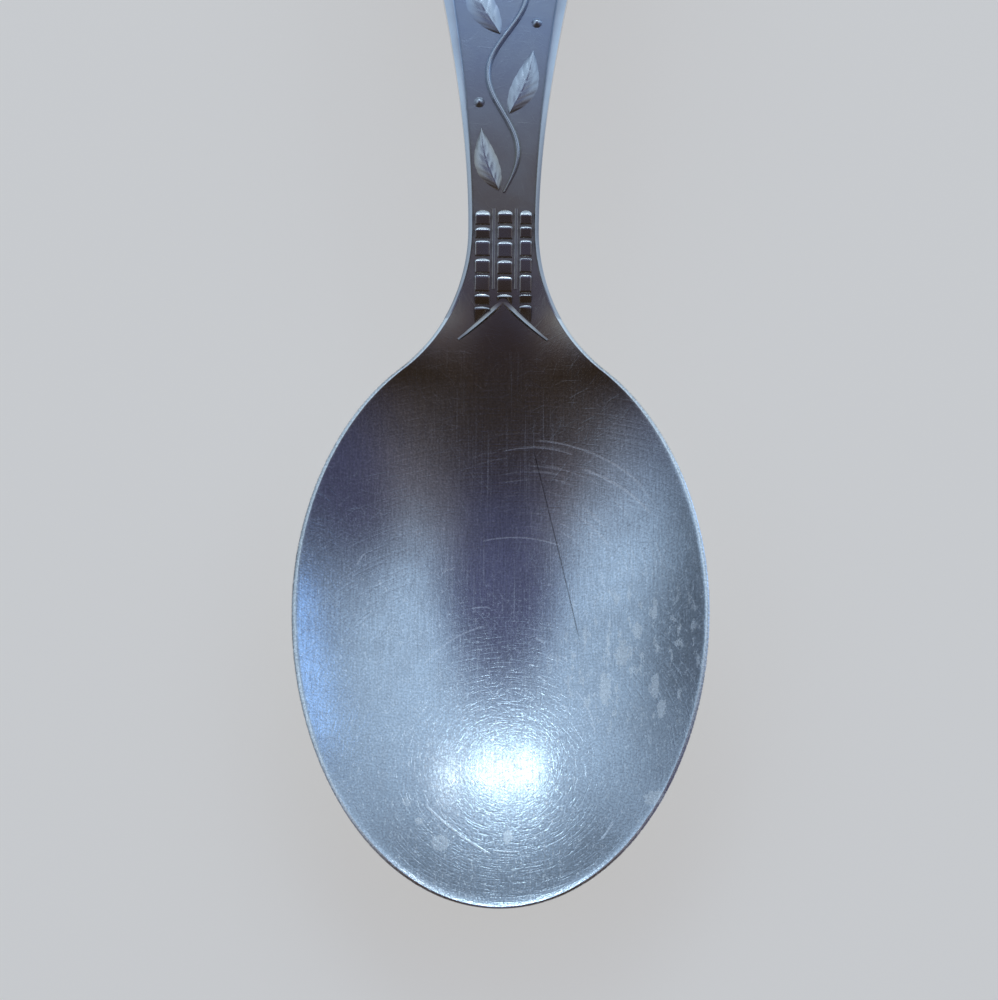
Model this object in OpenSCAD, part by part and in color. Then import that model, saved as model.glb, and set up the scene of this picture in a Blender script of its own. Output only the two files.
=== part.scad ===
// Baby spoon: an oval bowl, a slim neck with stacked blocks over a chevron, and an arched
// handle with a raised border and a vine that ends in a blossom.
// The spoon lies on its belly and on the end of its handle: the table is z = 0, the tip of
// the bowl points to -Y and the origin is on the table, under the middle of the length.
// Places along the spoon are distances from the tip.

/* [Bowl] */
// Width of the bowl across its rim
bowl_width = 27.5; // [25:0.5:31]
// Distance from the tip to the widest place of the bowl
tip_half = 20.2; // [18:0.2:23]
// Half length of the oval on the neck's side of the widest place
heel_half = 18.6; // [17:0.2:21]
// Depth of the dish below the rim
dish_depth = 6.3; // [5.2:0.1:8]
// Thickness of the metal at the bottom of the dish
bowl_wall = 1.1; // [0.9:0.1:1.6]
// Width of the flat land on top of the rim
rim_land = 0.45; // [0.3:0.05:0.7]
// Height of the rim's outer edge
rim_edge = 0.45; // [0.3:0.05:0.8]
// Rise of the rim from its lowest place to the tip
tip_rise = 0.4; // [0:0.1:1]
// Depth of the flat that use has worn into the belly
belly_wear = 0.1; // [0.06:0.02:0.2]

/* [Neck] */
// Width of the neck at its narrowest place
neck_width = 4.75; // [4.25:0.25:6.5]
// Thickness of the metal in the middle of the neck
neck_thickness = 2.3; // [1.9:0.1:3]
// Height of the neck's outer edges
neck_edge = 1.8; // [1.2:0.1:1.8]
// Angle between the outline and the length where the oval turns into the shoulder
shoulder_angle = 52; // [47:1:57]
// Rise of the top from the bowl's rim to the neck
neck_rise = 2.7; // [1.5:0.1:4]
// Distance from the end of the dish to the narrowest place of the neck
dish_runout = 2.3; // [1:0.1:4]

/* [Handle] */
// Length of the whole spoon
overall_length = 108; // [100:1:125]
// Width of the handle at its widest place
handle_width = 16; // [13:0.5:19]
// Length of the rounded end past the widest place
end_length = 20; // [15:0.5:24]
// Thickness of the metal in the middle of the handle
handle_thickness = 1.7; // [1.4:0.1:2.2]
// Height of the handle's outer edges
handle_edge = 1.3; // [0.9:0.1:1.4]
// Distance from the neck's narrowest place to the top of the arch
arch_distance = 20.5; // [16:0.5:26]
// Rise of the top from the neck to the top of the arch
arch_rise = 2; // [1:0.1:4]
// Slope of the handle's end below the level
end_angle = 19; // [10:1:25]

/* [Border] */
// Width of the border at the neck
border_neck = 0.35; // [0.25:0.05:0.5]
// Width of the border along the wide part of the handle
border_wide = 1.1; // [0.7:0.05:1.5]
// Height of the border above the panel
border_height = 0.3; // [0.2:0.05:0.5]
// Length over which the border rises out of the shoulder
border_lead = 5; // [3:0.5:6]
// Length over which the border grows to its full width
border_run = 30; // [20:1:36]

/* [Neck ornament] */
// Number of blocks in each outer column
block_rows = 6; // [4:1:8]
// Step from block to block along the neck
block_pitch = 1.075; // [0.9:0.025:1.3]
// Gap between two blocks of a column
block_gap = 0.14; // [0.1:0.02:0.3]
// Height of the blocks above the neck
block_height = 0.22; // [0.15:0.01:0.35]
// Width of the sloping edges round the top of a block
block_bevel = 0.12; // [0.06:0.02:0.16]
// How much narrower the right-hand column is than the others
column_narrowing = 0.2; // [0:0.05:0.3]
// Width of the ribs between the columns
rib_width = 0.26; // [0.2:0.02:0.36]
// Height of the ribs above the neck
rib_height = 0.18; // [0.1:0.02:0.3]
// Clearance beside the columns, the ribs and the border
column_clearance = 0.1; // [0.06:0.02:0.16]
// Distance of the outer columns' foot below the chevron's point
column_drop = 0.48; // [0.2:0.02:0.6]
// Distance from the chevron's point to the narrowest place of the neck
chevron_distance = 4.5; // [3.5:0.1:5.5]
// Distance of the chevron's ends from the middle
chevron_reach = 3; // [2.4:0.1:3.4]
// Distance of the chevron's ends below its point
chevron_drop = 2.65; // [2:0.05:3]
// Width of the chevron's line at its point
chevron_line = 0.32; // [0.2:0.02:0.44]
// Height of the chevron above the neck
chevron_height = 0.16; // [0.1:0.02:0.3]

/* [Vine] */
// Length of the stem's sprigs, each a half wave with one leaf, before they are fitted to the vine
bend_pitch = 6.7; // [5:0.1:9]
// Width of the stem
stem_width = 0.5; // [0.36:0.02:0.7]
// Height of the stem above the panel
stem_height = 0.24; // [0.15:0.01:0.35]
// Height of the leaves above the panel
leaf_height = 0.26; // [0.15:0.01:0.35]
// Breadth of a leaf for each millimetre of its length
leaf_breadth = 0.4; // [0.3:0.02:0.46]
// Radius of the berries
berry_radius = 0.42; // [0.3:0.02:0.46]
// Height of the berries above the panel
berry_height = 0.28; // [0.18:0.02:0.3]
// Gap between one sprig of the stem and the next
sprig_gap = 0.1; // [0.06:0.02:0.2]
// Gap between the ornament of the neck, the vine and the blossom
vine_gap = 0.5; // [0.3:0.1:1]

/* [Blossom] */
// Distance from the middle of the blossom to the end of the handle
blossom_inset = 14.5; // [12:0.5:17]
// Reach of the petals from the middle of the blossom
petal_reach = 4.6; // [3.6:0.1:5]
// Number of petals
petal_count = 6; // [5:1:8]
// Height of the petals above the panel
petal_height = 0.3; // [0.2:0.02:0.4]
// Radius of the blossom's centre
centre_radius = 1.1; // [0.8:0.1:1.3]
// Height of the blossom's centre above the panel
centre_height = 0.45; // [0.3:0.05:0.6]
// Gap between the blossom's centre and its petals
petal_gap = 0.15; // [0.1:0.05:0.3]

/* [Hidden] */
$fn = 32;

// Half widths, and the arc that joins the oval of the bowl to the neck
bowl_half = bowl_width / 2;
neck_half = neck_width / 2;
handle_half = handle_width / 2;
shoulder_turn = 180 - atan(bowl_half / (heel_half * tan(shoulder_angle)));
shoulder_x = bowl_half * sin(shoulder_turn);
shoulder_place = tip_half - heel_half * cos(shoulder_turn);
shoulder_normal = [heel_half * sin(shoulder_turn), -bowl_half * cos(shoulder_turn)];
shoulder_unit = shoulder_normal / norm(shoulder_normal);
shoulder_radius = (shoulder_x - neck_half) / (1 - shoulder_unit.x);

// Places along the spoon
neck_place = shoulder_place + shoulder_radius * shoulder_unit.y;
dish_end = neck_place - dish_runout;
heel_place = tip_half + heel_half / 2;
arch_place = neck_place + arch_distance;
widest_place = overall_length - end_length;
chevron_point = neck_place - chevron_distance;
chevron_foot = chevron_point - chevron_drop;
seam_margin = 0.6;
neck_start = chevron_foot - seam_margin;
column_foot = chevron_point - column_drop;
column_top = column_foot + block_rows * block_pitch;
neck_end = column_top + seam_margin;
border_start = neck_start + seam_margin;
vine_start = neck_end + vine_gap;
blossom_place = overall_length - blossom_inset;
vine_end = blossom_place - petal_reach - vine_gap;
vine_bends = max(1, round((vine_end - vine_start) / bend_pitch));

// Heights of the top: each knot is a place, a height and a slope
rim_level = dish_depth + bowl_wall - belly_wear;
neck_level = rim_level + neck_rise;
top_knots = [
    [0, rim_level + tip_rise, -2 * tip_rise / tip_half],
    [tip_half, rim_level, 0],
    [neck_place, neck_level, 2 * neck_rise / (neck_place - tip_half)],
    [arch_place, neck_level + arch_rise, 0],
    [overall_length, handle_edge, -tan(end_angle)]];

// Fineness of the meshes
tip_rows = 22;
heel_rows = 18;
neck_rows = 14;
handle_rows = 28;
end_rows = 14;
bowl_columns = 12;
handle_columns = 6;
sprig_rows = 10;
rib_rows = 6;
leaf_rows = 10;
// Where the rows of the two rounded ends fan out, in half lengths and in half widths from the end
tip_fan = 0.35;
end_fan = 0.8;

function along(place) = place - overall_length / 2;
function clamp(t) = min(1, max(0, t));
function ease(t) = let (c = clamp(t)) c * c * (3 - 2 * c);
function mix(a, b, t) = a + (b - a) * t;
function steps(from, to, count) = [for (i = [0 : count]) mix(from, to, i / count)];

// A cubic between two knots, and the height and slope of the top through all of them
function cubic(a, b, t) =
    let (span = b[0] - a[0])
    a[1] * (1 + 2 * t) * pow(1 - t, 2) + a[2] * span * t * pow(1 - t, 2)
    + b[1] * t * t * (3 - 2 * t) + b[2] * span * t * t * (t - 1);
function knot_before(s) = max([for (i = [0 : len(top_knots) - 2]) s >= top_knots[i][0] ? i : 0]);
function level(s) =
    let (i = knot_before(s), a = top_knots[i], b = top_knots[i + 1])
    cubic(a, b, (s - a[0]) / (b[0] - a[0]));
slope_step = 0.01;
function slope_angle(s) = atan((level(s + slope_step) - level(s - slope_step)) / (2 * slope_step));

// Half width of the outline, drawn in by an inset that is measured square to the edge
function shoulder_half(s, inset) =
    neck_half + shoulder_radius - sqrt(pow(shoulder_radius + inset, 2) - pow(neck_place - s, 2));
function oval_half(s, inset) =
    let (reach = s < tip_half ? tip_half : heel_half)
    (bowl_half - inset) * sqrt(max(0, 1 - pow((s - tip_half) / (reach - inset), 2)));
function flare_half(s) =
    mix(neck_half, handle_half, ease((s - neck_place) / (widest_place - neck_place)));
function half_width(s, inset = 0) =
    s < shoulder_place ? oval_half(s, inset)
    : s < neck_place ? shoulder_half(s, inset)
    : flare_half(s) - inset;

// The border's width, and the line that divides the edge from the panel or the dish
function border_width(s) = mix(border_neck, border_wide, ease((s - neck_end) / border_run));
function edge_inset(s) = mix(rim_land, border_width(s), ease((s - neck_start) / (neck_end - neck_start)));
function panel_half(s) = half_width(s, edge_inset(s));

// Depth of the dish on the middle line: the heel starts with the tip's curvature and ends level
heel_bend = pow((dish_end - tip_half) / (tip_half - rim_land), 2);
function heel_share(v) =
    v >= 1 ? 0 : 1 - heel_bend * pow(v, 2) + (2 * heel_bend - 4) * pow(v, 3) + (3 - heel_bend) * pow(v, 4);
function depth(s) =
    dish_depth * (s < tip_half ? 1 : heel_share((s - tip_half) / (dish_end - tip_half)));

// Both are 1 on the middle line and 0 on the edge: the dish's inner edge and the outline
function hollow(x, s) =
    s < tip_half
    ? 1 - pow((tip_half - s) / (tip_half - rim_land), 2) - pow(x / (bowl_half - rim_land), 2)
    : 1 - pow(x / panel_half(s), 2);
function crown(x, s) =
    s < tip_half ? 1 - pow((tip_half - s) / tip_half, 2) - pow(x / bowl_half, 2)
    : s > widest_place ? 1 - pow((s - widest_place) / end_length, 2) - pow(x / handle_half, 2)
    : 1 - pow(x / half_width(s), 2);

function to_neck(s) = ease((s - heel_place) / (neck_place - heel_place));
function to_handle(s) = ease((s - neck_place) / (widest_place - neck_place));
function along_body(bowl, neck, handle, s) =
    bowl + (neck - bowl) * to_neck(s) + (handle - neck) * to_handle(s);
function thickness(s) = along_body(bowl_wall, neck_thickness, handle_thickness, s);
function edge_height(s) = along_body(rim_edge, neck_edge, handle_edge, s);

function top_z(x, s) = level(s) - (depth(s) > 0 ? depth(s) * max(0, hollow(x, s)) : 0);
function under_z(x, s) =
    level(s) - edge_height(s) - (thickness(s) - edge_height(s) + depth(s)) * max(0, crown(x, s));
function on_top(p, lift = 0) = [p.x, along(p.y), top_z(p.x, p.y) + lift];

// Rows of a body: each holds the place on the middle line, the inner edge and the outer edge
function straight_row(s) = [s, [panel_half(s), s], [half_width(s), s]];
function oval_point(turn, inset) =
    [(bowl_half - inset) * sin(turn), tip_half - (tip_half - inset) * cos(turn)];
function end_point(turn, inset) =
    [(handle_half - inset) * cos(turn), widest_place + (end_length - inset) * sin(turn)];
tip_focus = tip_half * tip_fan;
end_focus = overall_length - handle_half * end_fan;
heel_row_list = [for (s = steps(neck_start, tip_half, heel_rows)) straight_row(s)];
tip_row_list = [for (i = [tip_rows - 1 : -1 : 0])
    let (t = i / tip_rows)
    [mix(tip_focus, tip_half, t), oval_point(90 * t, rim_land), oval_point(90 * t, 0)]];
handle_row_list = [for (s = steps(neck_end, widest_place, handle_rows)) straight_row(s)];
end_row_list = [for (i = [1 : end_rows])
    let (t = i / end_rows)
    [mix(widest_place, end_focus, t), end_point(90 * t, border_wide), end_point(90 * t, 0)]];
neck_row_list = [for (s = steps(neck_start, neck_end, neck_rows)) straight_row(s)];
border_row_list = concat(
    [for (s = steps(border_start, neck_end, neck_rows)) straight_row(s)],
    [for (i = [1 : handle_rows]) handle_row_list[i]],
    end_row_list);

function across(row, j, columns, side) =
    j > columns ? [side * row[2].x, row[2].y] : mix([0, row[0]], [side * row[1].x, row[1].y], j / columns);
function quad(a, b, c, d) = [[a, b, d], [b, c, d]];
function turned(face) = [face[2], face[1], face[0]];

// A body from a flat joint face to a free end, between the top and the underside
module free_end(rows, columns) {
    last = len(rows) - 1;
    outer = columns + 1;
    right = [for (row = rows) for (j = [0 : outer]) across(row, j, columns, 1)];
    left = [for (i = [0 : last - 1]) for (j = [1 : outer]) across(rows[i], j, columns, -1)];
    plan = concat(right, left);
    function right_at(i, j) = i * (outer + 1) + j;
    function left_at(i, j) = j == 0 || i == last ? right_at(i, j) : len(right) + i * outer + j - 1;
    skin = [for (i = [0 : last - 1]) for (j = [0 : columns])
        each concat(
            quad(right_at(i, j), right_at(i + 1, j), right_at(i + 1, j + 1), right_at(i, j + 1)),
            quad(left_at(i, j), left_at(i, j + 1), left_at(i + 1, j + 1), left_at(i + 1, j)))];
    loop = concat(
        [for (i = [0 : last]) right_at(i, outer)],
        [for (i = [last - 1 : -1 : 0]) left_at(i, outer)],
        [for (j = [columns : -1 : 0]) left_at(0, j)],
        [for (j = [1 : columns]) right_at(0, j)]);
    below = len(plan);
    walls = [for (k = [0 : len(loop) - 1])
        let (a = loop[k], b = loop[(k + 1) % len(loop)])
        each quad(a, b, b + below, a + below)];
    under = [for (face = skin) turned(face) + [below, below, below]];
    faces = concat(skin, under, walls);
    towards_tip = rows[0][0] > rows[last][0];
    polyhedron(
        points = concat(
            [for (p = plan) on_top(p)],
            [for (p = plan) [p.x, along(p.y), under_z(p.x, p.y)]]),
        faces = towards_tip ? [for (face = faces) turned(face)] : faces);
}

// A body through rings of points: the first half of a ring and its second half face each other
module loft(rings) {
    size = len(rings[0]);
    last = len(rings) - 1;
    function at(i, j) = i * size + j % size;
    sides = [for (i = [0 : last - 1]) for (j = [0 : size - 1])
        each quad(at(i, j), at(i + 1, j), at(i + 1, j + 1), at(i, j + 1))];
    function cap(i) = [for (j = [0 : size / 2 - 2])
        each quad(at(i, j), at(i, size - 1 - j), at(i, size - 2 - j), at(i, j + 1))];
    polyhedron(
        points = [for (ring = rings) each ring],
        faces = concat(sides, [for (face = cap(0)) turned(face)], cap(last)));
}

// A relief that follows a path on the top: each station is a point and the way to its right foot
crest_share = 0.4;
module ridge(stations, height) {
    loft([for (station = stations)
        let (p = station[0], foot = station[1], crest = foot * crest_share)
        [on_top(p - foot), on_top(p - crest, height), on_top(p + crest, height), on_top(p + foot)]]);
}

// A pointed leaf or petal with a ridge down its middle, from its base to its point
leaf_blunt = 0.03;
leaf_bias = 0.8;
leaf_shoulder = 0.55;
leaf_shoulder_height = 0.75;
module leaf(base, point, breadth, height) {
    axis = point - base;
    sideways = [axis.y, -axis.x] / norm(axis);
    loft([for (t = steps(leaf_blunt, 1 - leaf_blunt, leaf_rows))
        let (p = base + axis * t,
             swell = sin(180 * pow(t, leaf_bias)),
             foot = sideways * breadth / 2 * swell,
             shoulder = foot * leaf_shoulder,
             crest_lift = height * sqrt(swell),
             shoulder_lift = crest_lift * leaf_shoulder_height)
        [on_top(p - foot), on_top(p - shoulder, shoulder_lift), on_top(p, crest_lift),
         on_top(p + shoulder, shoulder_lift), on_top(p + foot), on_top(p)]]);
}

// A low dome that stands square on the top: the cap of a larger ball
module dome(p, radius, height) {
    ball = (radius * radius + height * height) / (2 * height);
    translate(on_top(p))
        rotate([slope_angle(p.y), 0, 0])
            intersection() {
                translate([0, 0, height - ball])
                    sphere(ball);
                translate([-ball, -ball, 0])
                    cube(2 * ball);
            }
}

// Columns of blocks, from the left border to the right one
column_span = 2 * (neck_half - border_neck - column_clearance);
rib_room = rib_width + 2 * column_clearance;
column_width = (column_span - 2 * rib_room + column_narrowing) / 3;
left_column = -column_span / 2;
middle_column = left_column + column_width + rib_room;
right_column = middle_column + column_width + rib_room;
function block_ring(left, right, low, high, inset, lift) =
    [on_top([left + inset, low + inset], lift), on_top([right - inset, low + inset], lift),
     on_top([right - inset, high - inset], lift), on_top([left + inset, high - inset], lift)];
module block_column(left, width, rows) {
    right = left + width;
    for (i = [1 : rows]) {
        high = column_top - (i - 1) * block_pitch - block_gap / 2;
        low = high - block_pitch + block_gap;
        loft([
            block_ring(left, right, low, high, 0, 0),
            block_ring(left, right, low, high, block_bevel, block_height)]);
    }
}

// The vine's stem sways in waves that grow longer towards the blossom
first_wave_share = 1.3;
stem_sway = 0.42;
function wave_phase(t) = first_wave_share * t - (first_wave_share - 1) * t * t;
function wave_start(bend) =
    let (q = bend / vine_bends, a = first_wave_share - 1)
    (first_wave_share - sqrt(first_wave_share * first_wave_share - 4 * a * q)) / (2 * a);
function vine_place(t) = mix(vine_start, vine_end, t);
function stem_point(t) =
    let (s = vine_place(t))
    [stem_sway * panel_half(s) * sin(180 * vine_bends * wave_phase(t)), s];
function stem_side(t) =
    let (d = stem_point(t + slope_step) - stem_point(t - slope_step))
    [d.y, -d.x] / norm(d);
function leaf_side(bend) = bend % 2 == 0 ? -1 : 1;

module bowl() {
    color("silver")
        difference() {
            free_end(concat(heel_row_list, tip_row_list), bowl_columns);
            translate([-bowl_half, along(0), -bowl_wall])
                cube([bowl_width, tip_half * 2, bowl_wall]);
        }
}

module neck() {
    color("silver")
        loft([for (row = neck_row_list)
            let (line = concat(
                [for (j = [bowl_columns + 1 : -1 : 1]) across(row, j, bowl_columns, -1)],
                [for (j = [0 : bowl_columns + 1]) across(row, j, bowl_columns, 1)]))
            concat(
                [for (p = line) on_top(p)],
                [for (k = [len(line) - 1 : -1 : 0])
                    [line[k].x, along(line[k].y), under_z(line[k].x, line[k].y)]])]);
}

module handle() {
    color("silver")
        free_end(concat(handle_row_list, end_row_list), handle_columns);
}

// A border with a sloping inner side, a flat crest and a narrow slope to the edge
module edge_border() {
    inner_share = 0.35;
    outer_share = 0.85;
    least_lead = 0.1;
    rows = border_row_list;
    last = len(rows) - 1;
    function ring(row, side) =
        let (inner = [side * row[1].x, row[1].y],
             outer = [side * row[2].x, row[2].y],
             lift = border_height * max(least_lead, ease((inner.y - border_start) / border_lead)))
        [on_top(inner), on_top(mix(inner, outer, inner_share), lift),
         on_top(mix(inner, outer, outer_share), lift), on_top(outer)];
    color("gainsboro")
        loft(concat(
            [for (i = [0 : last]) ring(rows[i], 1)],
            [for (i = [last - 1 : -1 : 0]) ring(rows[i], -1)]));
}

module blocks_left() {
    color("dimgray")
        block_column(left_column, column_width, block_rows);
}

module blocks_middle() {
    color("dimgray")
        block_column(middle_column, column_width, block_rows - 1);
}

module blocks_right() {
    color("dimgray")
        block_column(right_column, column_width - column_narrowing, block_rows);
}

module neck_ribs() {
    color("gray")
        for (column = [middle_column, right_column]) {
            x = column - rib_room / 2;
            low = column_foot + block_pitch;
            ridge([for (s = steps(low, column_top, rib_rows)) [[x, s], [rib_width / 2, 0]]], rib_height);
        }
}

module neck_chevron() {
    arm = norm([chevron_reach, chevron_drop]);
    shares = [0.08, 0.4, 0.7, 1];
    end_share = 0.2;
    function station(side, share) =
        [[side * chevron_reach * share, chevron_point - chevron_drop * share],
         [-side * chevron_drop, -chevron_reach] / arm * chevron_line / 2 * mix(1, end_share, share)];
    miter = [[0, chevron_point], [0, -chevron_line / 2 * arm / chevron_reach]];
    color("lightgray")
        ridge(concat(
            [for (i = [len(shares) - 1 : -1 : 0]) station(-1, shares[i])],
            [miter],
            [for (share = shares) station(1, share)]), chevron_height);
}

module vine_stem() {
    root_share = 0.6;
    root_run = 0.4;
    room = sprig_gap / (vine_end - vine_start);
    color("lightsteelblue")
        for (bend = [0 : vine_bends - 1])
            ridge([for (i = [0 : sprig_rows])
                let (part = i / sprig_rows,
                     t = mix(wave_start(bend) + room, wave_start(bend + 1), part),
                     width = stem_width * mix(root_share, 1, ease(part / root_run)))
                [stem_point(t), stem_side(t) * width / 2]], stem_height);
}

module vine_leaves() {
    leaf_seat = 0.64;
    leaf_from = 0.02;
    leaf_to = 0.84;
    leaf_lean = 0.66;
    color("lightsteelblue")
        for (bend = [0 : vine_bends - 1]) {
            from = vine_place(wave_start(bend));
            to = vine_place(wave_start(bend + 1));
            base = [leaf_side(bend) * stem_width * leaf_seat, mix(from, to, leaf_from)];
            tip_place = mix(from, to, leaf_to);
            point = [leaf_side(bend) * panel_half(tip_place) * leaf_lean, tip_place];
            leaf(base, point, norm(point - base) * leaf_breadth, leaf_height);
        }
}

module vine_berries() {
    berry_from = 0.16;
    berry_lean = 0.68;
    color("lightsteelblue")
        for (bend = [1 : vine_bends - 1]) {
            s = mix(vine_place(wave_start(bend)), vine_place(wave_start(bend + 1)), berry_from);
            dome([-leaf_side(bend) * panel_half(s) * berry_lean, s], berry_radius, berry_height);
        }
}

module blossom_petals() {
    middle = [0, blossom_place];
    inner = centre_radius + petal_gap;
    petal_fill = 0.85;
    breadth = petal_fill * sin(180 / petal_count) * (inner + petal_reach);
    color("gainsboro")
        for (i = [0 : petal_count - 1]) {
            outward = [sin(360 * i / petal_count), cos(360 * i / petal_count)];
            leaf(middle + outward * inner, middle + outward * petal_reach, breadth, petal_height);
        }
}

module blossom_centre() {
    color("gainsboro")
        dome([0, blossom_place], centre_radius, centre_height);
}

bowl();
neck();
handle();
edge_border();
blocks_left();
blocks_middle();
blocks_right();
neck_ribs();
neck_chevron();
vine_stem();
vine_leaves();
vine_berries();
blossom_petals();
blossom_centre();
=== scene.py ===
import math

import bmesh
import bpy
import numpy as np
from mathutils import Matrix, Quaternion, Vector


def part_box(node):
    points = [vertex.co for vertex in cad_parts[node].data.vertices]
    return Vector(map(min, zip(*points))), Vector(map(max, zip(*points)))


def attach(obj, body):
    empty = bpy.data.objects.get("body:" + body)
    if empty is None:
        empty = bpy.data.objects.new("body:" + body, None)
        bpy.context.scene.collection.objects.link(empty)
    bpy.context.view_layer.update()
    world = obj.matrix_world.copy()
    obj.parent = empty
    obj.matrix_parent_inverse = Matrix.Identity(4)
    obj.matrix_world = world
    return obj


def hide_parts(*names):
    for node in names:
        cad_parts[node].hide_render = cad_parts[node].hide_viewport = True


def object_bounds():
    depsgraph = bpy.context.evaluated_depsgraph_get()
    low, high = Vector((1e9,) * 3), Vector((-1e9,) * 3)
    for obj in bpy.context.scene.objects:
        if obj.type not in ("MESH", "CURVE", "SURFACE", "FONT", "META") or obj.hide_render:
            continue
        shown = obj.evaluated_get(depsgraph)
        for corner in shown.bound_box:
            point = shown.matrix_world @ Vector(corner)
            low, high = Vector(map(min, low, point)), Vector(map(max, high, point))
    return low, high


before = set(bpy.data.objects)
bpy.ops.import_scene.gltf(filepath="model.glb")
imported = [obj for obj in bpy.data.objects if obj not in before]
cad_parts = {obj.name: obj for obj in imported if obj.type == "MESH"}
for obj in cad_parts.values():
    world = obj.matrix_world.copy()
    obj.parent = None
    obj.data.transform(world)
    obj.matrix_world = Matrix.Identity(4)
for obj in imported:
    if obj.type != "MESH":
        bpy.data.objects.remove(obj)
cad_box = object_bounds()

# Places along the spoon are distances from the tip, in millimetres, as in the part's source
MM = 0.001


def box_mm(node):
    low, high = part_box(node)
    return np.array(low) / MM, np.array(high) / MM


HALF_LENGTH = (cad_box[1].y - cad_box[0].y) / MM / 2
LENGTH = 2 * HALF_LENGTH
BOWL_HALF = box_mm("bowl")[1][0]
HANDLE_HALF = box_mm("handle")[1][0]
NECK_START = box_mm("neck")[0][1] + HALF_LENGTH
NECK_END = box_mm("neck")[1][1] + HALF_LENGTH

# Bowl
TIP_HALF = 20.2
HEEL_HALF = 18.6
DISH_DEPTH = 6.3
BOWL_WALL = 1.1
RIM_LAND = 0.3
TIP_LAND = 0.14
RIM_EDGE = 0.45
RIM_ROUND = 0.42
RIM_FALL = 0.16
RIM_TURN = 0.08
TIP_SOFTNESS = 0.05
SIDE_SOFTNESS = 0.006
TIP_FALL_SHARE = 0.2
TIP_RISE = 0.4
BELLY_WEAR = 0.1

# Neck
NECK_HALF = 2.375
NECK_THICKNESS = 2.3
NECK_EDGE = 1.8
SHOULDER_ANGLE = math.radians(52)
NECK_RISE = 2.7
DISH_RUNOUT = 2.3
SEAM_MARGIN = 0.6

# Handle
END_LENGTH = 20
HANDLE_THICKNESS = 1.7
HANDLE_EDGE = 1.3
ARCH_DISTANCE = 20.5
ARCH_RISE = 2
END_ANGLE = math.radians(19)
EDGE_ROUND = 0.45

# Border
BORDER_NECK = 0.35
BORDER_WIDE = 1.1
BORDER_HEIGHT = 0.24
BORDER_LOW = 0.12
BORDER_LEAD = 5
BORDER_RUN = 25

# Ornament of the neck
BLOCK_ROWS = 6
BLOCK_PITCH = 1.075
BLOCK_GAP = 0.14
BLOCK_HEIGHT = 0.22
COLUMN_NARROWING = 0.2
RIB_WIDTH = 0.26
RIB_HEIGHT = 0.06
RIB_FLATNESS = 0.3
COLUMN_CLEARANCE = 0.1
COLUMN_DROP = 0.48
CHEVRON_DISTANCE = 4.5
CHEVRON_REACH = 3
CHEVRON_DROP = 2.65
CHEVRON_LINE = 0.5
CHEVRON_HEIGHT = 0.16
CHEVRON_LEAN = 0.5
CHEVRON_BOW = 0.88

# Vine and blossom
VINE_BENDS = 6
STEM_WIDTH = 0.5
STEM_HEIGHT = 0.24
STEM_SWAY = 0.42
FIRST_WAVE_SHARE = 1.3
LEAF_HEIGHT = 0.26
LEAF_BREADTH = 0.4
BERRY_RADIUS = 0.42
BERRY_HEIGHT = 0.24
VINE_GAP = 0.5
BLOSSOM_INSET = 14.5
PETAL_REACH = 4.6
PETAL_COUNT = 6
PETAL_HEIGHT = 0.3
PETAL_GAP = 0.15
CENTRE_RADIUS = 1.1
CENTRE_HEIGHT = 0.45

# How far reliefs reach into the metal below them
SINK = 0.08
FOOT_DIP = 0.03

# The shoulder's arc and the places that follow from it
shoulder_turn = math.pi - math.atan(BOWL_HALF / (HEEL_HALF * math.tan(SHOULDER_ANGLE)))
shoulder_x = BOWL_HALF * math.sin(shoulder_turn)
shoulder_place = TIP_HALF - HEEL_HALF * math.cos(shoulder_turn)
shoulder_normal = Vector((HEEL_HALF * math.sin(shoulder_turn), -BOWL_HALF * math.cos(shoulder_turn)))
shoulder_normal.normalize()
shoulder_radius = (shoulder_x - NECK_HALF) / (1 - shoulder_normal.x)
neck_place = shoulder_place + shoulder_radius * shoulder_normal.y
dish_end = neck_place - DISH_RUNOUT
heel_place = TIP_HALF + HEEL_HALF / 2
widest_place = LENGTH - END_LENGTH
chevron_point = neck_place - CHEVRON_DISTANCE
border_start = NECK_START + SEAM_MARGIN
column_foot = chevron_point - COLUMN_DROP
column_top = column_foot + BLOCK_ROWS * BLOCK_PITCH
vine_start = NECK_END + VINE_GAP
blossom_place = LENGTH - BLOSSOM_INSET
vine_end = blossom_place - PETAL_REACH - VINE_GAP

# Heights of the top: a place, a height and a slope for each knot
rim_level = DISH_DEPTH + BOWL_WALL - BELLY_WEAR
neck_level = rim_level + NECK_RISE
top_knots = [
    (0, rim_level + TIP_RISE, -2 * TIP_RISE / TIP_HALF),
    (TIP_HALF, rim_level, 0),
    (neck_place, neck_level, 2 * NECK_RISE / (neck_place - TIP_HALF)),
    (neck_place + ARCH_DISTANCE, neck_level + ARCH_RISE, 0),
    (LENGTH, HANDLE_EDGE, -math.tan(END_ANGLE)),
]


def ease(t):
    c = np.clip(t, 0, 1)
    return c * c * (3 - 2 * c)


def mix(a, b, t):
    return a + (b - a) * t


def cubic(a, b, s):
    span = b[0] - a[0]
    t = (s - a[0]) / span
    return (a[1] * (1 + 2 * t) * (1 - t) ** 2 + a[2] * span * t * (1 - t) ** 2
            + b[1] * t * t * (3 - 2 * t) + b[2] * span * t * t * (t - 1))


def level(s):
    height = cubic(top_knots[0], top_knots[1], s)
    for a, b in zip(top_knots[1:], top_knots[2:]):
        height = np.where(s >= a[0], cubic(a, b, s), height)
    return height


def root(value):
    return np.sqrt(np.maximum(0, value))


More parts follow.
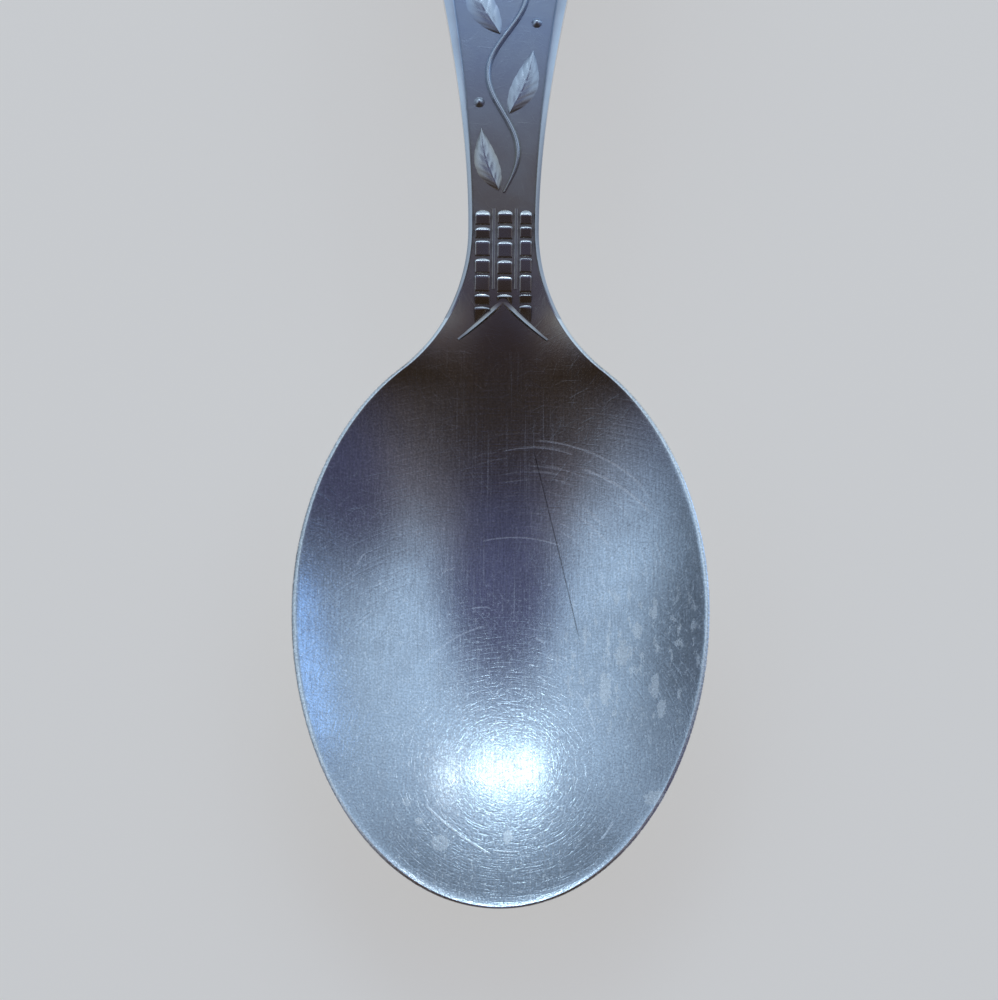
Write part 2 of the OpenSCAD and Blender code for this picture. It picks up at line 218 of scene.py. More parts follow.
def half_width(s, inset=0):
    """Half width of the outline, drawn in by an inset that is measured square to the edge."""
    reach = np.where(s < TIP_HALF, TIP_HALF, HEEL_HALF)
    oval = (BOWL_HALF - inset) * root(1 - ((s - TIP_HALF) / (reach - inset)) ** 2)
    shoulder = NECK_HALF + shoulder_radius - root((shoulder_radius + inset) ** 2 - (neck_place - s) ** 2)
    flare = mix(NECK_HALF, HANDLE_HALF, ease((s - neck_place) / (widest_place - neck_place))) - inset
    return np.where(s < shoulder_place, oval, np.where(s < neck_place, shoulder, flare))


def border_width(s):
    return mix(BORDER_NECK, BORDER_WIDE, ease((s - NECK_END) / BORDER_RUN))


def edge_inset(s):
    return mix(RIM_LAND, border_width(s), ease((s - NECK_START) / (NECK_END - NECK_START)))


def panel_half(s):
    return half_width(s, edge_inset(s))


def depth(s):
    bend = ((dish_end - TIP_HALF) / (TIP_HALF - TIP_LAND)) ** 2
    v = np.clip((s - TIP_HALF) / (dish_end - TIP_HALF), 0, 1)
    return DISH_DEPTH * (1 - bend * v ** 2 + (2 * bend - 4) * v ** 3 + (3 - bend) * v ** 4)


def along_body(bowl, neck, handle, s):
    to_neck = ease((s - heel_place) / (neck_place - heel_place))
    to_handle = ease((s - neck_place) / (widest_place - neck_place))
    return bowl + (neck - bowl) * to_neck + (handle - neck) * to_handle


def top_z(x, s):
    tip = 1 - ((TIP_HALF - s) / (TIP_HALF - TIP_LAND)) ** 2 - (x / (BOWL_HALF - RIM_LAND)) ** 2
    heel = 1 - (x / np.maximum(panel_half(s), RIM_LAND)) ** 2
    hollow = np.where(s < TIP_HALF, tip, heel)
    softness = mix(TIP_SOFTNESS, SIDE_SOFTNESS, ease(s / (TIP_HALF / 2)))
    rounded = (hollow + np.sqrt(hollow ** 2 + softness ** 2)) / 2
    return level(s) - depth(s) * rounded


def under_z(x, s):
    tip = 1 - ((TIP_HALF - s) / TIP_HALF) ** 2 - (x / BOWL_HALF) ** 2
    end = 1 - ((s - widest_place) / END_LENGTH) ** 2 - (x / HANDLE_HALF) ** 2
    middle = 1 - (x / np.maximum(half_width(s), RIM_LAND)) ** 2
    crown = np.maximum(0, np.where(s < TIP_HALF, tip, np.where(s > widest_place, end, middle)))
    edge = along_body(RIM_EDGE, NECK_EDGE, HANDLE_EDGE, s)
    thick = along_body(BOWL_WALL, NECK_THICKNESS, HANDLE_THICKNESS, s)
    return np.maximum(0, level(s) - edge - (thick - edge + depth(s)) * crown)


def solid_points(plan, z):
    """Points of the row frame, in metres, from places on the plan and heights."""
    return np.stack([plan[..., 0], plan[..., 1] - HALF_LENGTH, z], -1) * MM


def on_top(plan, lift=0):
    return solid_points(plan, top_z(plan[..., 0], plan[..., 1]) + lift)


# Meshes
SMOOTH_LIMIT = math.radians(45)
WELD = 1e-8


def linked(name, data):
    obj = bpy.data.objects.new(name, data)
    bpy.context.scene.collection.objects.link(obj)
    return obj


def piece(node, material, points, faces, crest):
    """A closed, smooth-shaded piece that stands for one node; crest is 1 where its colour is lighter:
    polished by use on the rim and relief crests, painted highlight on the blocks' glint slopes and sides.
    """
    mesh = bpy.data.meshes.new(node)
    bm = bmesh.new()
    layer = bm.verts.layers.float.new("crest")
    for point, value in zip(points, crest):
        vert = bm.verts.new(point)
        vert[layer] = value
    bm.verts.ensure_lookup_table()
    for face in faces:
        bm.faces.new([bm.verts[i] for i in face])
    bmesh.ops.remove_doubles(bm, verts=bm.verts, dist=WELD)
    bmesh.ops.recalc_face_normals(bm, faces=bm.faces)
    for face in bm.faces:
        face.smooth = True
    bm.to_mesh(mesh)
    bm.free()
    mesh.set_sharp_from_angle(angle=SMOOTH_LIMIT)
    mesh.materials.append(material)
    obj = linked(node, mesh)
    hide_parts(node)
    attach(obj, "root")


def grid_faces(rows, columns, start, around=False):
    """Quads of a grid of points, whose columns may close round."""
    last = columns if around else columns - 1
    return [(start + i * columns + j, start + i * columns + (j + 1) % columns,
             start + (i + 1) * columns + (j + 1) % columns, start + (i + 1) * columns + j)
            for i in range(rows - 1) for j in range(last)]


class Relief:
    """Raised shapes of one node: each is a patch of the top, lifted, over a floor inside the metal."""

    def __init__(self):
        self.points = []
        self.faces = []
        self.crest = []

    def patch(self, plan, lift, height, around=False, floor_plan=None, floor_lift=-SINK, crest=None):
        """Closes lifted rows of plan points with a floor below them; columns may go round a middle point."""
        rows, columns = lift.shape
        top = on_top(plan, lift).reshape(-1, 3)
        floor = on_top(plan if floor_plan is None else floor_plan, floor_lift).reshape(-1, 3)
        start = sum(len(p) for p in self.points)
        below = start + len(top)
        self.points += [top, floor]
        wear_and_sheen = np.clip(lift / height, 0, 1) if crest is None else crest
        self.crest += [wear_and_sheen.ravel(), np.zeros(len(floor))]
        sheet = grid_faces(rows, columns, start, around)
        self.faces += sheet + [tuple(i + len(top) for i in reversed(face)) for face in sheet]
        if around:
            rim = [(rows - 1) * columns + j for j in range(columns)]
            rim.append(rim[0])
        else:
            rim = list(range(columns))
            rim += [i * columns + columns - 1 for i in range(1, rows)]
            rim += [(rows - 1) * columns + j for j in range(columns - 2, -1, -1)]
            rim += [i * columns for i in range(rows - 2, -1, -1)]
        self.faces += [(start + a, start + b, below + b, below + a) for a, b in zip(rim, rim[1:])]

    def build(self, node, material):
        points, crest = np.concatenate(self.points), np.concatenate(self.crest)
        piece(node, material, points, self.faces, crest)


# Bodies: rows of cross-sections from a flat joint towards a free end or to a second joint
SEAM_STEP = 0.02
TOP_SHARES = np.concatenate([np.linspace(0, 0.86, 36), np.linspace(0.88, 1, 13)])
LAND_SHARES = np.array([0.25, 0.5, 0.75])
UNDER_SHARES = np.linspace(0, 1, 34)[1:]
CORNER_STEPS = np.linspace(0, 1, 9)
LEAST_ROUND = 0.02
MOST_ROUND = 0.97
LOWER_ROUND = 0.45
TIP_FAN = 0.35
END_FAN = 0.8


def straight_rows(s):
    return np.stack([np.stack([x, s], -1) for x in (0 * s, panel_half(s), half_width(s))], 1)


def fan_rows(shares, focus, start, middle, half, reach, side_inset, end_inset):
    """Rows that turn from straight across to straight along a rounded end."""
    turn = shares * math.pi / 2
    sign = np.sign(focus - middle)
    rows = [np.stack([np.zeros_like(turn), mix(start, focus, shares)], -1)]
    for aside, ahead in ((side_inset, end_inset), (0, 0)):
        rows.append(np.stack([(half - aside) * np.cos(turn) * (turn < math.pi / 2),
                              middle + sign * (reach - ahead) * np.sin(turn)], -1))
    return np.stack(rows, 1)


def rim_edge(s, land, aside=1.0):
    """Reach, fall and whole drop of the top's rounded edge, which the border replaces on the handle."""
    share = 1 - ease((s - border_start) / BORDER_LEAD)
    reach = np.minimum(mix(LEAST_ROUND, RIM_ROUND, share), land * MOST_ROUND)
    fall = RIM_FALL * share * mix(TIP_FALL_SHARE, 1, aside)
    return reach, fall, fall + np.minimum(reach, RIM_TURN)


def corner(a, c, b):
    q = CORNER_STEPS[None, :, None]
    return a[:, None] * (1 - q) ** 2 + c[:, None] * 2 * q * (1 - q) + b[:, None] * q ** 2


def half_rings(rows):
    """The right half of each row's cross-section, from the top's middle round the edge to the bottom's."""
    middle, inner, outer = rows[:, 0], rows[:, 1], rows[:, 2]
    land = np.linalg.norm(outer - inner, axis=1)
    outward = (outer - inner) / land[:, None]
    s = outer[:, 1]
    side = along_body(RIM_EDGE, NECK_EDGE, HANDLE_EDGE, s)
    upper, fall, drop = rim_edge(s, land, np.abs(outward[:, 0]))
    lower = np.minimum(side * LOWER_ROUND, EDGE_ROUND)

    def under(plan):
        return solid_points(plan, under_z(plan[..., 0], plan[..., 1]))

    def lowered(points, drop):
        return points - np.outer(drop, (0, 0, MM))

    upper_start = outer - outward * upper[:, None]
    lower_end = outer - outward * lower[:, None]
    dish = middle[:, None] + (inner - middle)[:, None] * TOP_SHARES[None, :, None]
    flat = inner[:, None] + (upper_start - inner)[:, None] * LAND_SHARES[None, :, None]
    belly = lower_end[:, None] + (middle - lower_end)[:, None] * UNDER_SHARES[None, :, None]
    edge_top, edge_under = on_top(outer), under(outer)
    return np.concatenate([
        on_top(dish),
        on_top(flat),
        corner(on_top(upper_start), lowered(edge_top, fall), lowered(edge_top, drop)),
        corner(lowered(edge_under, -lower), edge_under, under(lower_end)),
        under(belly)], 1)


def rim_wear():
    """1 on the points of a ring that lie on the land and round the edge, 0 on the rest."""
    half = np.concatenate([np.zeros(len(TOP_SHARES)), np.ones(len(LAND_SHARES) + len(CORNER_STEPS)),
                           1 - CORNER_STEPS, np.zeros(len(UNDER_SHARES))])
    return np.concatenate([half, half[-2:0:-1]])


def body(node, material, rows, second_joint=False):
    right = half_rings(rows)
    left = right[:, -2:0:-1] * np.array([-1, 1, 1])
    rings = np.concatenate([right, left], 1)
    count, size = rings.shape[:2]
    faces = grid_faces(count, size, 0, around=True)
    faces.append(tuple(range(size)))
    if second_joint:
        faces.append(tuple(range((count - 1) * size, count * size)))
    piece(node, material, rings.reshape(-1, 3), faces, np.tile(rim_wear(), count))


def joint_places(start, stop, count):
    """Even places with a close second row at the start, so that shading runs on over a joint."""
    step = math.copysign(SEAM_STEP, stop - start)
    return np.concatenate([[start], np.linspace(start + step, stop, count)])


HEEL_ROWS = 84
TIP_ROWS = 84
NECK_ROWS = 72
HANDLE_ROWS = 150
END_ROWS = 64


def make_bowl(material):
    rows = np.concatenate([
        straight_rows(joint_places(NECK_START, TIP_HALF, HEEL_ROWS)),
        fan_rows(np.linspace(0, 1, TIP_ROWS)[1:], TIP_HALF * TIP_FAN, TIP_HALF, TIP_HALF,
                 BOWL_HALF, TIP_HALF, RIM_LAND, TIP_LAND)])
    body("bowl", material, rows)


def make_neck(material):
    places = np.concatenate([
        joint_places(NECK_START, NECK_END - SEAM_STEP, NECK_ROWS), [NECK_END]])
    body("neck", material, straight_rows(places), second_joint=True)


def end_fan_rows(count):
    return fan_rows(np.linspace(0, 1, count)[1:], LENGTH - HANDLE_HALF * END_FAN, widest_place,
                    widest_place, HANDLE_HALF, END_LENGTH, BORDER_WIDE, BORDER_WIDE)


def make_handle(material):
    rows = np.concatenate([
        straight_rows(joint_places(NECK_END, widest_place, HANDLE_ROWS)), end_fan_rows(END_ROWS)])
    body("handle", material, rows)


# Reliefs
RIDGE_COLUMNS = 13


def hump(v, flatness=1.5):
    """A rounded profile across a ridge, 1 in the middle and 0 at its feet."""
    return np.clip(1 - np.abs(v) ** 2, 0, 1) ** flatness


def raised(height, shape):
    return mix(-FOOT_DIP, height, shape)


def roof(v):
    """A profile with flat sides."""
    return np.clip(1 - np.abs(v), 0, 1)


def flat_ridge(v):
    return hump(v, RIB_FLATNESS)


def ridge(relief, path, half_widths, height, lift_shares=None, profile=hump, full=None, lean=0.0):
    """A ridge along a path, whose crest may lean to one side; full is the height at which its crest share
    reaches 1.
    """
    ahead = np.gradient(path, axis=0)
    side = np.stack([ahead[:, 1], -ahead[:, 0]], -1)
    side /= np.linalg.norm(side, axis=1)[:, None]
    v = np.linspace(-1, 1, RIDGE_COLUMNS)
    plan = path[:, None] + side[:, None] * (half_widths[:, None] * v)[..., None]
    shares = np.ones(len(path)) if lift_shares is None else lift_shares
    across = profile((v - lean) / np.where(v > lean, 1 - lean, 1 + lean))
    relief.patch(plan, raised(height, across[None, :] * shares[:, None]), full or height)


BORDER_COLUMNS = 17
LEAD_ROWS = 90
BORDER_FOOT = 0.25
BORDER_BROW = 0.22
BORDER_NECK_FALL = 0.9
BORDER_WIDE_FALL = 0.5
BORDER_TUCK = 0.02
BORDER_CURVE = 1.3
BORDER_SWELL = 26


def make_border(material):
    """A border whose inner side rises out of the panel and whose crest falls away to the edge."""
    lead = straight_rows(np.linspace(border_start, NECK_END, LEAD_ROWS))
    run = straight_rows(np.linspace(NECK_END, widest_place, HANDLE_ROWS)[1:])
    rows = np.concatenate([lead, run, end_fan_rows(END_ROWS)])
    back = rows[-2::-1] * np.array([-1, 1])
    rows = np.concatenate([rows, back])
    inner, outer = rows[:, 1], rows[:, 2]
    width = np.linalg.norm(outer - inner, axis=1)
    v = np.linspace(0, 1, BORDER_COLUMNS)
    plan = inner[:, None] + (outer - inner)[:, None] * v[None, :, None]
    tucked = plan.copy()
    tucked[:, -1] -= (outer - inner) / width[:, None] * BORDER_TUCK
    s = inner[:, 1]
    swell = ease((s - NECK_START) / BORDER_SWELL)[:, None]
    past_brow = np.clip((v - BORDER_BROW) / (1 - BORDER_BROW), 0, 1)[None, :]
    wear_and_sheen = ease(v / BORDER_FOOT)[None, :]
    shape = wear_and_sheen * (1 - mix(BORDER_NECK_FALL, BORDER_WIDE_FALL, swell) * past_brow ** BORDER_CURVE)
    rise = ease((s - border_start) / BORDER_LEAD)[:, None]
    reach, fall, drop = (value[:, None] for value in rim_edge(outer[:, 1], width))
    q = 1 - np.sqrt(np.clip(width[:, None] * (1 - v[None, :]) / reach, 0, 1))
    rounding = fall * 2 * q * (1 - q) + drop * q ** 2
    lift = mix(-rounding - FOOT_DIP, raised(mix(BORDER_LOW, BORDER_HEIGHT, swell), shape), rise)
    relief = Relief()
    relief.patch(plan, lift, BORDER_HEIGHT, floor_plan=tucked, floor_lift=-rounding - SINK,
                 crest=np.broadcast_to(wear_and_sheen, lift.shape))
    relief.build("edge_border", material)


column_span = 2 * (NECK_HALF - BORDER_NECK - COLUMN_CLEARANCE)
rib_room = RIB_WIDTH + 2 * COLUMN_CLEARANCE
column_width = (column_span - 2 * rib_room + COLUMN_NARROWING) / 3
left_column = -column_span / 2
middle_column = left_column + column_width + rib_room
right_column = middle_column + column_width + rib_room
BLOCK_FOOT = 0.03
BLOCK_SIDE = 0.09
BLOCK_SIDE_DROP = 0.042
BLOCK_TOE = 0.25
# Crest share of a tread's middle: low, so that the tread is painted dark, for the dark sky that it reflects
TREAD_PAINTED_DARK = 0.1
SLOPE_START = 0.38
SLOPE_END = 0.53
GLINT_TAPER = 0.75
BLOCK_END = 0.03
FOOT_ROWS = 4
TREAD_ROWS = 8
SLOPE_ROWS = 6
SIDE_COLUMNS = 4
BLOCK_COLUMNS = 10
RIB_ROWS = 40

# Rows from the top down: the height of each, and the length of the slope on it that catches the light
LEFT_ROWS = [(1.2, 0.42), (0.9, 0.22), (1.2, 0.14), (1.15, 0.2), (1.2, 0.05), (0.8, 0.16), (0.8, 0.14)]
MIDDLE_ROWS = [(1.1, 0.36), (1.05, 0.14), (1.25, 0.2), (1.1, 0.22), (1.15, 0.17), (0.5, 0.17)]
RIGHT_ROWS = [(1.15, 0.4), (0.9, 0.13), (1.25, 0.16), (1.1, 0.05), (1.3, 0.1), (0.65, 0.05), (0.8, 0.14)]


def chevron_place(x):
    return chevron_point - CHEVRON_DROP * (np.abs(x) / CHEVRON_REACH) ** CHEVRON_BOW


def block(relief, x, low, high, chamfer):
    """A block that rises like a tread to its handle side, where a short slope catches the light."""
    from_middle = np.abs(2 * (x - x[0]) / (x[-1] - x[0]) - 1)
    crest = high - BLOCK_END - chamfer
    end = crest + chamfer * (1 - GLINT_TAPER * from_middle ** 2)
    s = np.concatenate([low + BLOCK_FOOT * np.linspace(0, 1, FOOT_ROWS)[:, None],
                        mix(low + BLOCK_FOOT, crest, np.linspace(0, 1, TREAD_ROWS)[1:, None]),
                        mix(crest, end, np.linspace(0, 1, SLOPE_ROWS)[1:, None]),
                        end[None, :] + BLOCK_END])
    tread = mix(BLOCK_TOE, 1, (s - low) / (crest - low)) * ease((s - low) / BLOCK_FOOT)
    past_crest = s - crest
    steeper = (SLOPE_END - SLOPE_START) / 2 * past_crest / chamfer
    slope = 1 - past_crest * (SLOPE_START + steeper) / BLOCK_HEIGHT
    along = np.clip(np.where(s < crest, tread, slope), 0, 1)
    along[-1] = 0
    aside = np.clip(np.minimum(x - x[0], x[-1] - x) / BLOCK_SIDE, 0, 1)
    lift = np.maximum(raised(BLOCK_HEIGHT, along) - BLOCK_SIDE_DROP * (1 - aside), -FOOT_DIP)
    lift[:, [0, -1]] = -FOOT_DIP
    plan = np.stack(np.broadcast_arrays(x[None, :], s), -1)
    # Painted highlight and shade: crest 1 on the glint slope and the sides, which are painted lighter, and
    # low on the tread, which is painted dark
    wear_and_sheen = np.where(s < crest, mix(1, TREAD_PAINTED_DARK, aside), 1)
    relief.patch(plan, lift, BLOCK_HEIGHT, crest=wear_and_sheen)


def make_blocks(node, material, left, width, rows):
    """A column of stacked blocks, of which the lowest runs down to the chevron's arm."""
    relief = Relief()
    right = left + width
    x = np.concatenate([[left], np.linspace(left + BLOCK_END, left + BLOCK_SIDE, SIDE_COLUMNS),
                        np.linspace(left + BLOCK_SIDE, right - BLOCK_SIDE, BLOCK_COLUMNS)[1:-1],
                        np.linspace(right - BLOCK_SIDE, right - BLOCK_END, SIDE_COLUMNS), [right]])
    high = column_top - BLOCK_GAP / 2
    for row, (height, chamfer) in enumerate(rows):
        low = np.full_like(x, high - height + BLOCK_GAP)
        if row == len(rows) - 1:
            low = np.minimum(chevron_place(x) + CHEVRON_LINE / 2, high - chamfer - BLOCK_FOOT * 2)
        block(relief, x, low, high, chamfer)
        high -= height
    relief.build(node, material)


def make_ribs(relief):
    for column in (middle_column, right_column):
        s = np.linspace(column_foot + BLOCK_PITCH, column_top, RIB_ROWS)
        path = np.stack([np.full_like(s, column - rib_room / 2), s], -1)
        ridge(relief, path, np.full_like(s, RIB_WIDTH / 2), RIB_HEIGHT, profile=flat_ridge,
              full=BLOCK_HEIGHT)


CHEVRON_ROWS = 48
CHEVRON_START = 0.03
CHEVRON_TAPER = 0.45
CHEVRON_ROOT = 0.06
CHEVRON_FADE = 0.35
CHEVRON_LOW = 0.6


def make_chevron(relief):
    """Two arms that start apart under the columns and taper outwards."""
    share = np.linspace(CHEVRON_START, 1, CHEVRON_ROWS)
    for side in (-1, 1):
        x = side * CHEVRON_REACH * share
        path = np.stack([x, chevron_place(x)], -1)
        ridge(relief, path, CHEVRON_LINE / 2 * mix(1, CHEVRON_TAPER, share), CHEVRON_HEIGHT,
              ease((share + CHEVRON_ROOT) / CHEVRON_FADE) * mix(1, CHEVRON_LOW, ease(2 * share - 1)),
              roof, lean=side * CHEVRON_LEAN)


def wave_start(bend):
    a = FIRST_WAVE_SHARE - 1
    return (FIRST_WAVE_SHARE - math.sqrt(FIRST_WAVE_SHARE ** 2 - 4 * a * bend / VINE_BENDS)) / (2 * a)


def vine_place(t):
    return mix(vine_start, vine_end, t)


def stem_path(t):
    s = vine_place(t)
    phase = FIRST_WAVE_SHARE * t - (FIRST_WAVE_SHARE - 1) * t * t
    return np.stack([STEM_SWAY * panel_half(s) * np.sin(math.pi * VINE_BENDS * phase), s], -1)


def leaf_side(bend):
    return -1 if bend % 2 == 0 else 1


STEM_ROWS = 48
STEM_ROOT = 0.5
STEM_ROOT_RUN = 0.08


def make_stem(relief):
    part = np.linspace(0, 1, VINE_BENDS * STEM_ROWS)
    start, stop = ease(part / STEM_ROOT_RUN), ease((part - 1) / STEM_ROOT_RUN + 1)
    taper = mix(STEM_ROOT, 1, start) * mix(1, STEM_ROOT, stop)
    ridge(relief, stem_path(part), STEM_WIDTH / 2 * taper, STEM_HEIGHT, taper)


LEAF_ROWS = 56
LEAF_COLUMNS = 33
LEAF_MARGIN = 0.01
LEAF_BIAS = 0.8
LEAF_SOFTNESS = 1.4
VEIN_DEPTH = 0.03
VEIN_COUNT = 6
VEIN_SLANT = 1.6
VEIN_SHARPNESS = 3
VEIN_SOFTNESS = 0.6
VEIN_FADE = 4
RIB_RISE = 0.04
RIB_SPREAD = 0.13


def leaf(relief, base, point, breadth, height, veins=VEIN_COUNT, bow=0.0):
    """A pointed leaf with a raised midrib and slanting veins; bow bends its middle sideways."""
    axis = point - base
    length = np.linalg.norm(axis)
    side = np.array([axis[1], -axis[0]]) / length
    t = np.linspace(LEAF_MARGIN, 1 - LEAF_MARGIN, LEAF_ROWS)
    v = np.linspace(-1, 1, LEAF_COLUMNS)
    swell = np.sin(math.pi * t ** LEAF_BIAS)
    middle = base + axis * t[:, None] + side * (bow * length * np.sin(math.pi * t))[:, None]
    plan = middle[:, None] + side * (breadth / 2 * swell[:, None] * v)[..., None]
    crown = np.sqrt(swell)[:, None] * hump(v, LEAF_SOFTNESS)[None, :]
    phase = veins * t[:, None] - VEIN_SLANT * np.abs(v)[None, :]
    wave = (0.5 + 0.5 * np.cos(2 * math.pi * phase)) ** VEIN_SHARPNESS
    vein = wave * hump(v, VEIN_SOFTNESS) * (ease(VEIN_FADE * (1 - t)) * swell)[:, None]
    midrib = np.exp(-(v / RIB_SPREAD) ** 2)[None, :] * np.sqrt((1 - t) * swell)[:, None]
    relief.patch(plan, raised(height, crown) - VEIN_DEPTH * vein + RIB_RISE * midrib, height)


LEAF_SEAT = 0.64
LEAF_FROM = 0.02
LEAF_TO = 0.84
LEAF_LEAN = 0.66
LEAF_BOW = 0.07


def make_leaves(relief):
    for bend in range(VINE_BENDS):
        start, stop = vine_place(wave_start(bend)), vine_place(wave_start(bend + 1))
        side = leaf_side(bend)
        base = np.array([side * STEM_WIDTH * LEAF_SEAT, mix(start, stop, LEAF_FROM)])
        tip = mix(start, stop, LEAF_TO)
        point = np.array([side * panel_half(tip) * LEAF_LEAN, tip])
        breadth = np.linalg.norm(point - base) * LEAF_BREADTH
        leaf(relief, base, point, breadth, LEAF_HEIGHT, bow=side * LEAF_BOW)


DOME_ROWS = 20
DOME_COLUMNS = 48
DOME_SOFTNESS = 1.4
SEED_COUNT = 9
SEED_RINGS = 2.5
SEED_RISE = 0.36


def dome(relief, centre, radius, height, seeds=0):
    """A low dome, with rings of small seeds if it has any."""
    r = np.linspace(0, 1, DOME_ROWS)
    turn = np.linspace(0, 2 * math.pi, DOME_COLUMNS, endpoint=False)
    plan = np.array(centre) + radius * r[:, None, None] * np.stack([np.cos(turn), np.sin(turn)], -1)[None]
    lift = np.repeat(raised(height, (1 - r ** 2) ** DOME_SOFTNESS)[:, None], len(turn), 1)
    if seeds:
        rings = np.cos(2 * math.pi * SEED_RINGS * r)[:, None] * np.cos(seeds * turn)[None, :]
        lift = lift + SEED_RISE * height * rings * (r * (1 - r))[:, None]
    relief.patch(plan, lift, height, around=True)


BERRY_FROM = 0.16
BERRY_LEAN = 0.68


def make_berries(relief):
    for bend in range(1, VINE_BENDS):
        s = mix(vine_place(wave_start(bend)), vine_place(wave_start(bend + 1)), BERRY_FROM)
        dome(relief, (-leaf_side(bend) * panel_half(s) * BERRY_LEAN, s), BERRY_RADIUS, BERRY_HEIGHT)


PETAL_FILL = 0.85
PETAL_VEINS = 4


def make_petals(relief):
    middle = np.array([0, blossom_place])
    inner = CENTRE_RADIUS + PETAL_GAP
    breadth = PETAL_FILL * math.sin(math.pi / PETAL_COUNT) * (inner + PETAL_REACH)
    for i in range(PETAL_COUNT):
        turn = 2 * math.pi * i / PETAL_COUNT
        outward = np.array([math.sin(turn), math.cos(turn)])
        leaf(relief, middle + outward * inner, middle + outward * PETAL_REACH, breadth, PETAL_HEIGHT,
             PETAL_VEINS)


def make_centre(relief):
    dome(relief, (0, blossom_place), CENTRE_RADIUS, CENTRE_HEIGHT, SEED_COUNT)


# Materials

# Places of the colour sockets on a mix node
MIX_A = 6
MIX_B = 7
MIX_RESULT = 2


class Value:
    """A socket of a node tree; sums, products, steps and the like of it add nodes to that tree."""

    def __init__(self, graph, socket):
        self.graph = graph
        self.socket = socket

    def math(self, operation, *others, output=0):
        kind = "ShaderNodeVectorMath" if self.socket.type == "VECTOR" else "ShaderNodeMath"
        return self.graph.add(kind, dict(enumerate((self, *others))), output, operation=operation)

    def __add__(self, other):
        return self.math("ADD", other)

    __radd__ = __add__

    def __sub__(self, other):
        return self.math("SUBTRACT", other)

    def __rsub__(self, other):
        return self.graph.add("ShaderNodeMath", {0: other, 1: self}, operation="SUBTRACT")

    def __mul__(self, other):
        return self.math("MULTIPLY", other)

    def __truediv__(self, other):
        return self.math("DIVIDE", other)

    def __abs__(self):
        return self.math("ABSOLUTE")

    def length(self):
        return self.math("LENGTH", output="Value")

    def parts(self):
        node = self.graph.add("ShaderNodeSeparateXYZ", {0: self}).socket.node
        return [Value(self.graph, socket) for socket in node.outputs]

    def step(self, low, high, to_low=0.0, to_high=1.0):
        """A smooth step, whose result is to_low at low and to_high at high."""
        return self.graph.add("ShaderNodeMapRange", {
            "Value": self, "From Min": low, "From Max": high, "To Min": to_low, "To Max": to_high},
            interpolation_type="SMOOTHSTEP")

    def blend(self, a, b):
        """A colour that is a where the value is 0 and b where it is 1."""
        return self.graph.add("ShaderNodeMix", {0: self, MIX_A: a, MIX_B: b}, MIX_RESULT, data_type="RGBA")

    def noise(self, scale=1.0, detail=2.0, roughness=0.5):
        return self.graph.add("ShaderNodeTexNoise", {
            "Vector": self, "Scale": scale, "Detail": detail, "Roughness": roughness}, "Fac")


class Graph:
    """A node tree, cleared, to which nodes are added."""

    def __init__(self, tree):
        self.tree = tree
        tree.nodes.clear()

    def add(self, kind, inputs=None, output=0, **settings):
        """Adds a node and returns one of its outputs; inputs are values, numbers, colours or vectors."""
        node = self.tree.nodes.new(kind)
        for name, setting in settings.items():
            setattr(node, name, setting)
        for key, value in (inputs or {}).items():
            if isinstance(value, Value):
                self.tree.links.new(value.socket, node.inputs[key])
            else:
                node.inputs[key].default_value = value
        return Value(self, node.outputs[output]) if node.outputs else None


def colour(r, g, b):
    return (r, g, b, 1)


def spoon_places(graph):
    """Millimetres across the spoon and from its tip, with the height left out."""
    return graph.add("ShaderNodeTexCoord", output="Object") * (1 / MM, 1 / MM, 0) + (0, HALF_LENGTH, 0)


# Hair scratches: directions, width and length in mm, the noise that starts and fills a line, its weight, and
# how deep in the noise their layers lie
FINE_HAIRS = (12, 0.062, 0.8, 0.56, 0.72, 0.6, 0)
DEEP_HAIRS = (7, 0.07, 2.6, 0.68, 0.78, 1.8, 50)
DASHES = (7, 0.065, 0.5, 0.67, 0.74, 1.0, 90)
LAYER_STEP = 3.7
FIRST_TURN = 0.3
SCRATCH_DEPTH = 0.0000012


def hair_layers(places, hairs):
    """Hair scratches in every direction; each layer is noise stretched along one direction."""
    directions, width, length, low, high, weight, depth = hairs
    layers = []
    for i in range(directions):
        turned = places.graph.add("ShaderNodeMapping", {
            "Vector": places,
            "Location": (0, 0, -LAYER_STEP * (i + 1) - depth),
            "Rotation": (0, 0, math.pi * (i + FIRST_TURN) / directions),
            "Scale": (width, length, 1)}, vector_type="TEXTURE")
        layers.append(turned.noise(detail=1.0).step(low, high, 0.0, weight))
    return sum(layers)


def ring_noise(places, centre, width, turns):
    """Noise drawn out along rings round a centre, with the distance from it and the direction."""
    away = places - centre
    reach = away.length()
    turn = away.math("NORMALIZE").parts()
    rings = places.graph.add("ShaderNodeCombineXYZ", {
        "X": reach / width, "Y": turn[0] * turns, "Z": turn[1] * turns})
    return rings.noise(detail=1.0), reach, turn


# A tuple for a step holds its low and high and, unless they are 0 and 1, the results there
# The rings' centre is where the lamp's highlight falls in the dish
SWIRL_CENTRE = (0.51, 10.23, 0)
SWIRL_WIDTH = 0.12
SWIRL_TURNS = 5.0
SWIRL_LINES = (0.52, 0.7)
SWIRL_FADE = (2.0, 22.0, 1.0, 0.3)
SWIRL_WEIGHT = 3.9


def swirl(places):
    """Hair scratches in rings round the place in the dish where the lamp's highlight falls, as stirring and
    wiping leave them.
    """
    rings, reach = ring_noise(places, SWIRL_CENTRE, SWIRL_WIDTH, SWIRL_TURNS)[:2]
    return rings.step(*SWIRL_LINES) * reach.step(*SWIRL_FADE)


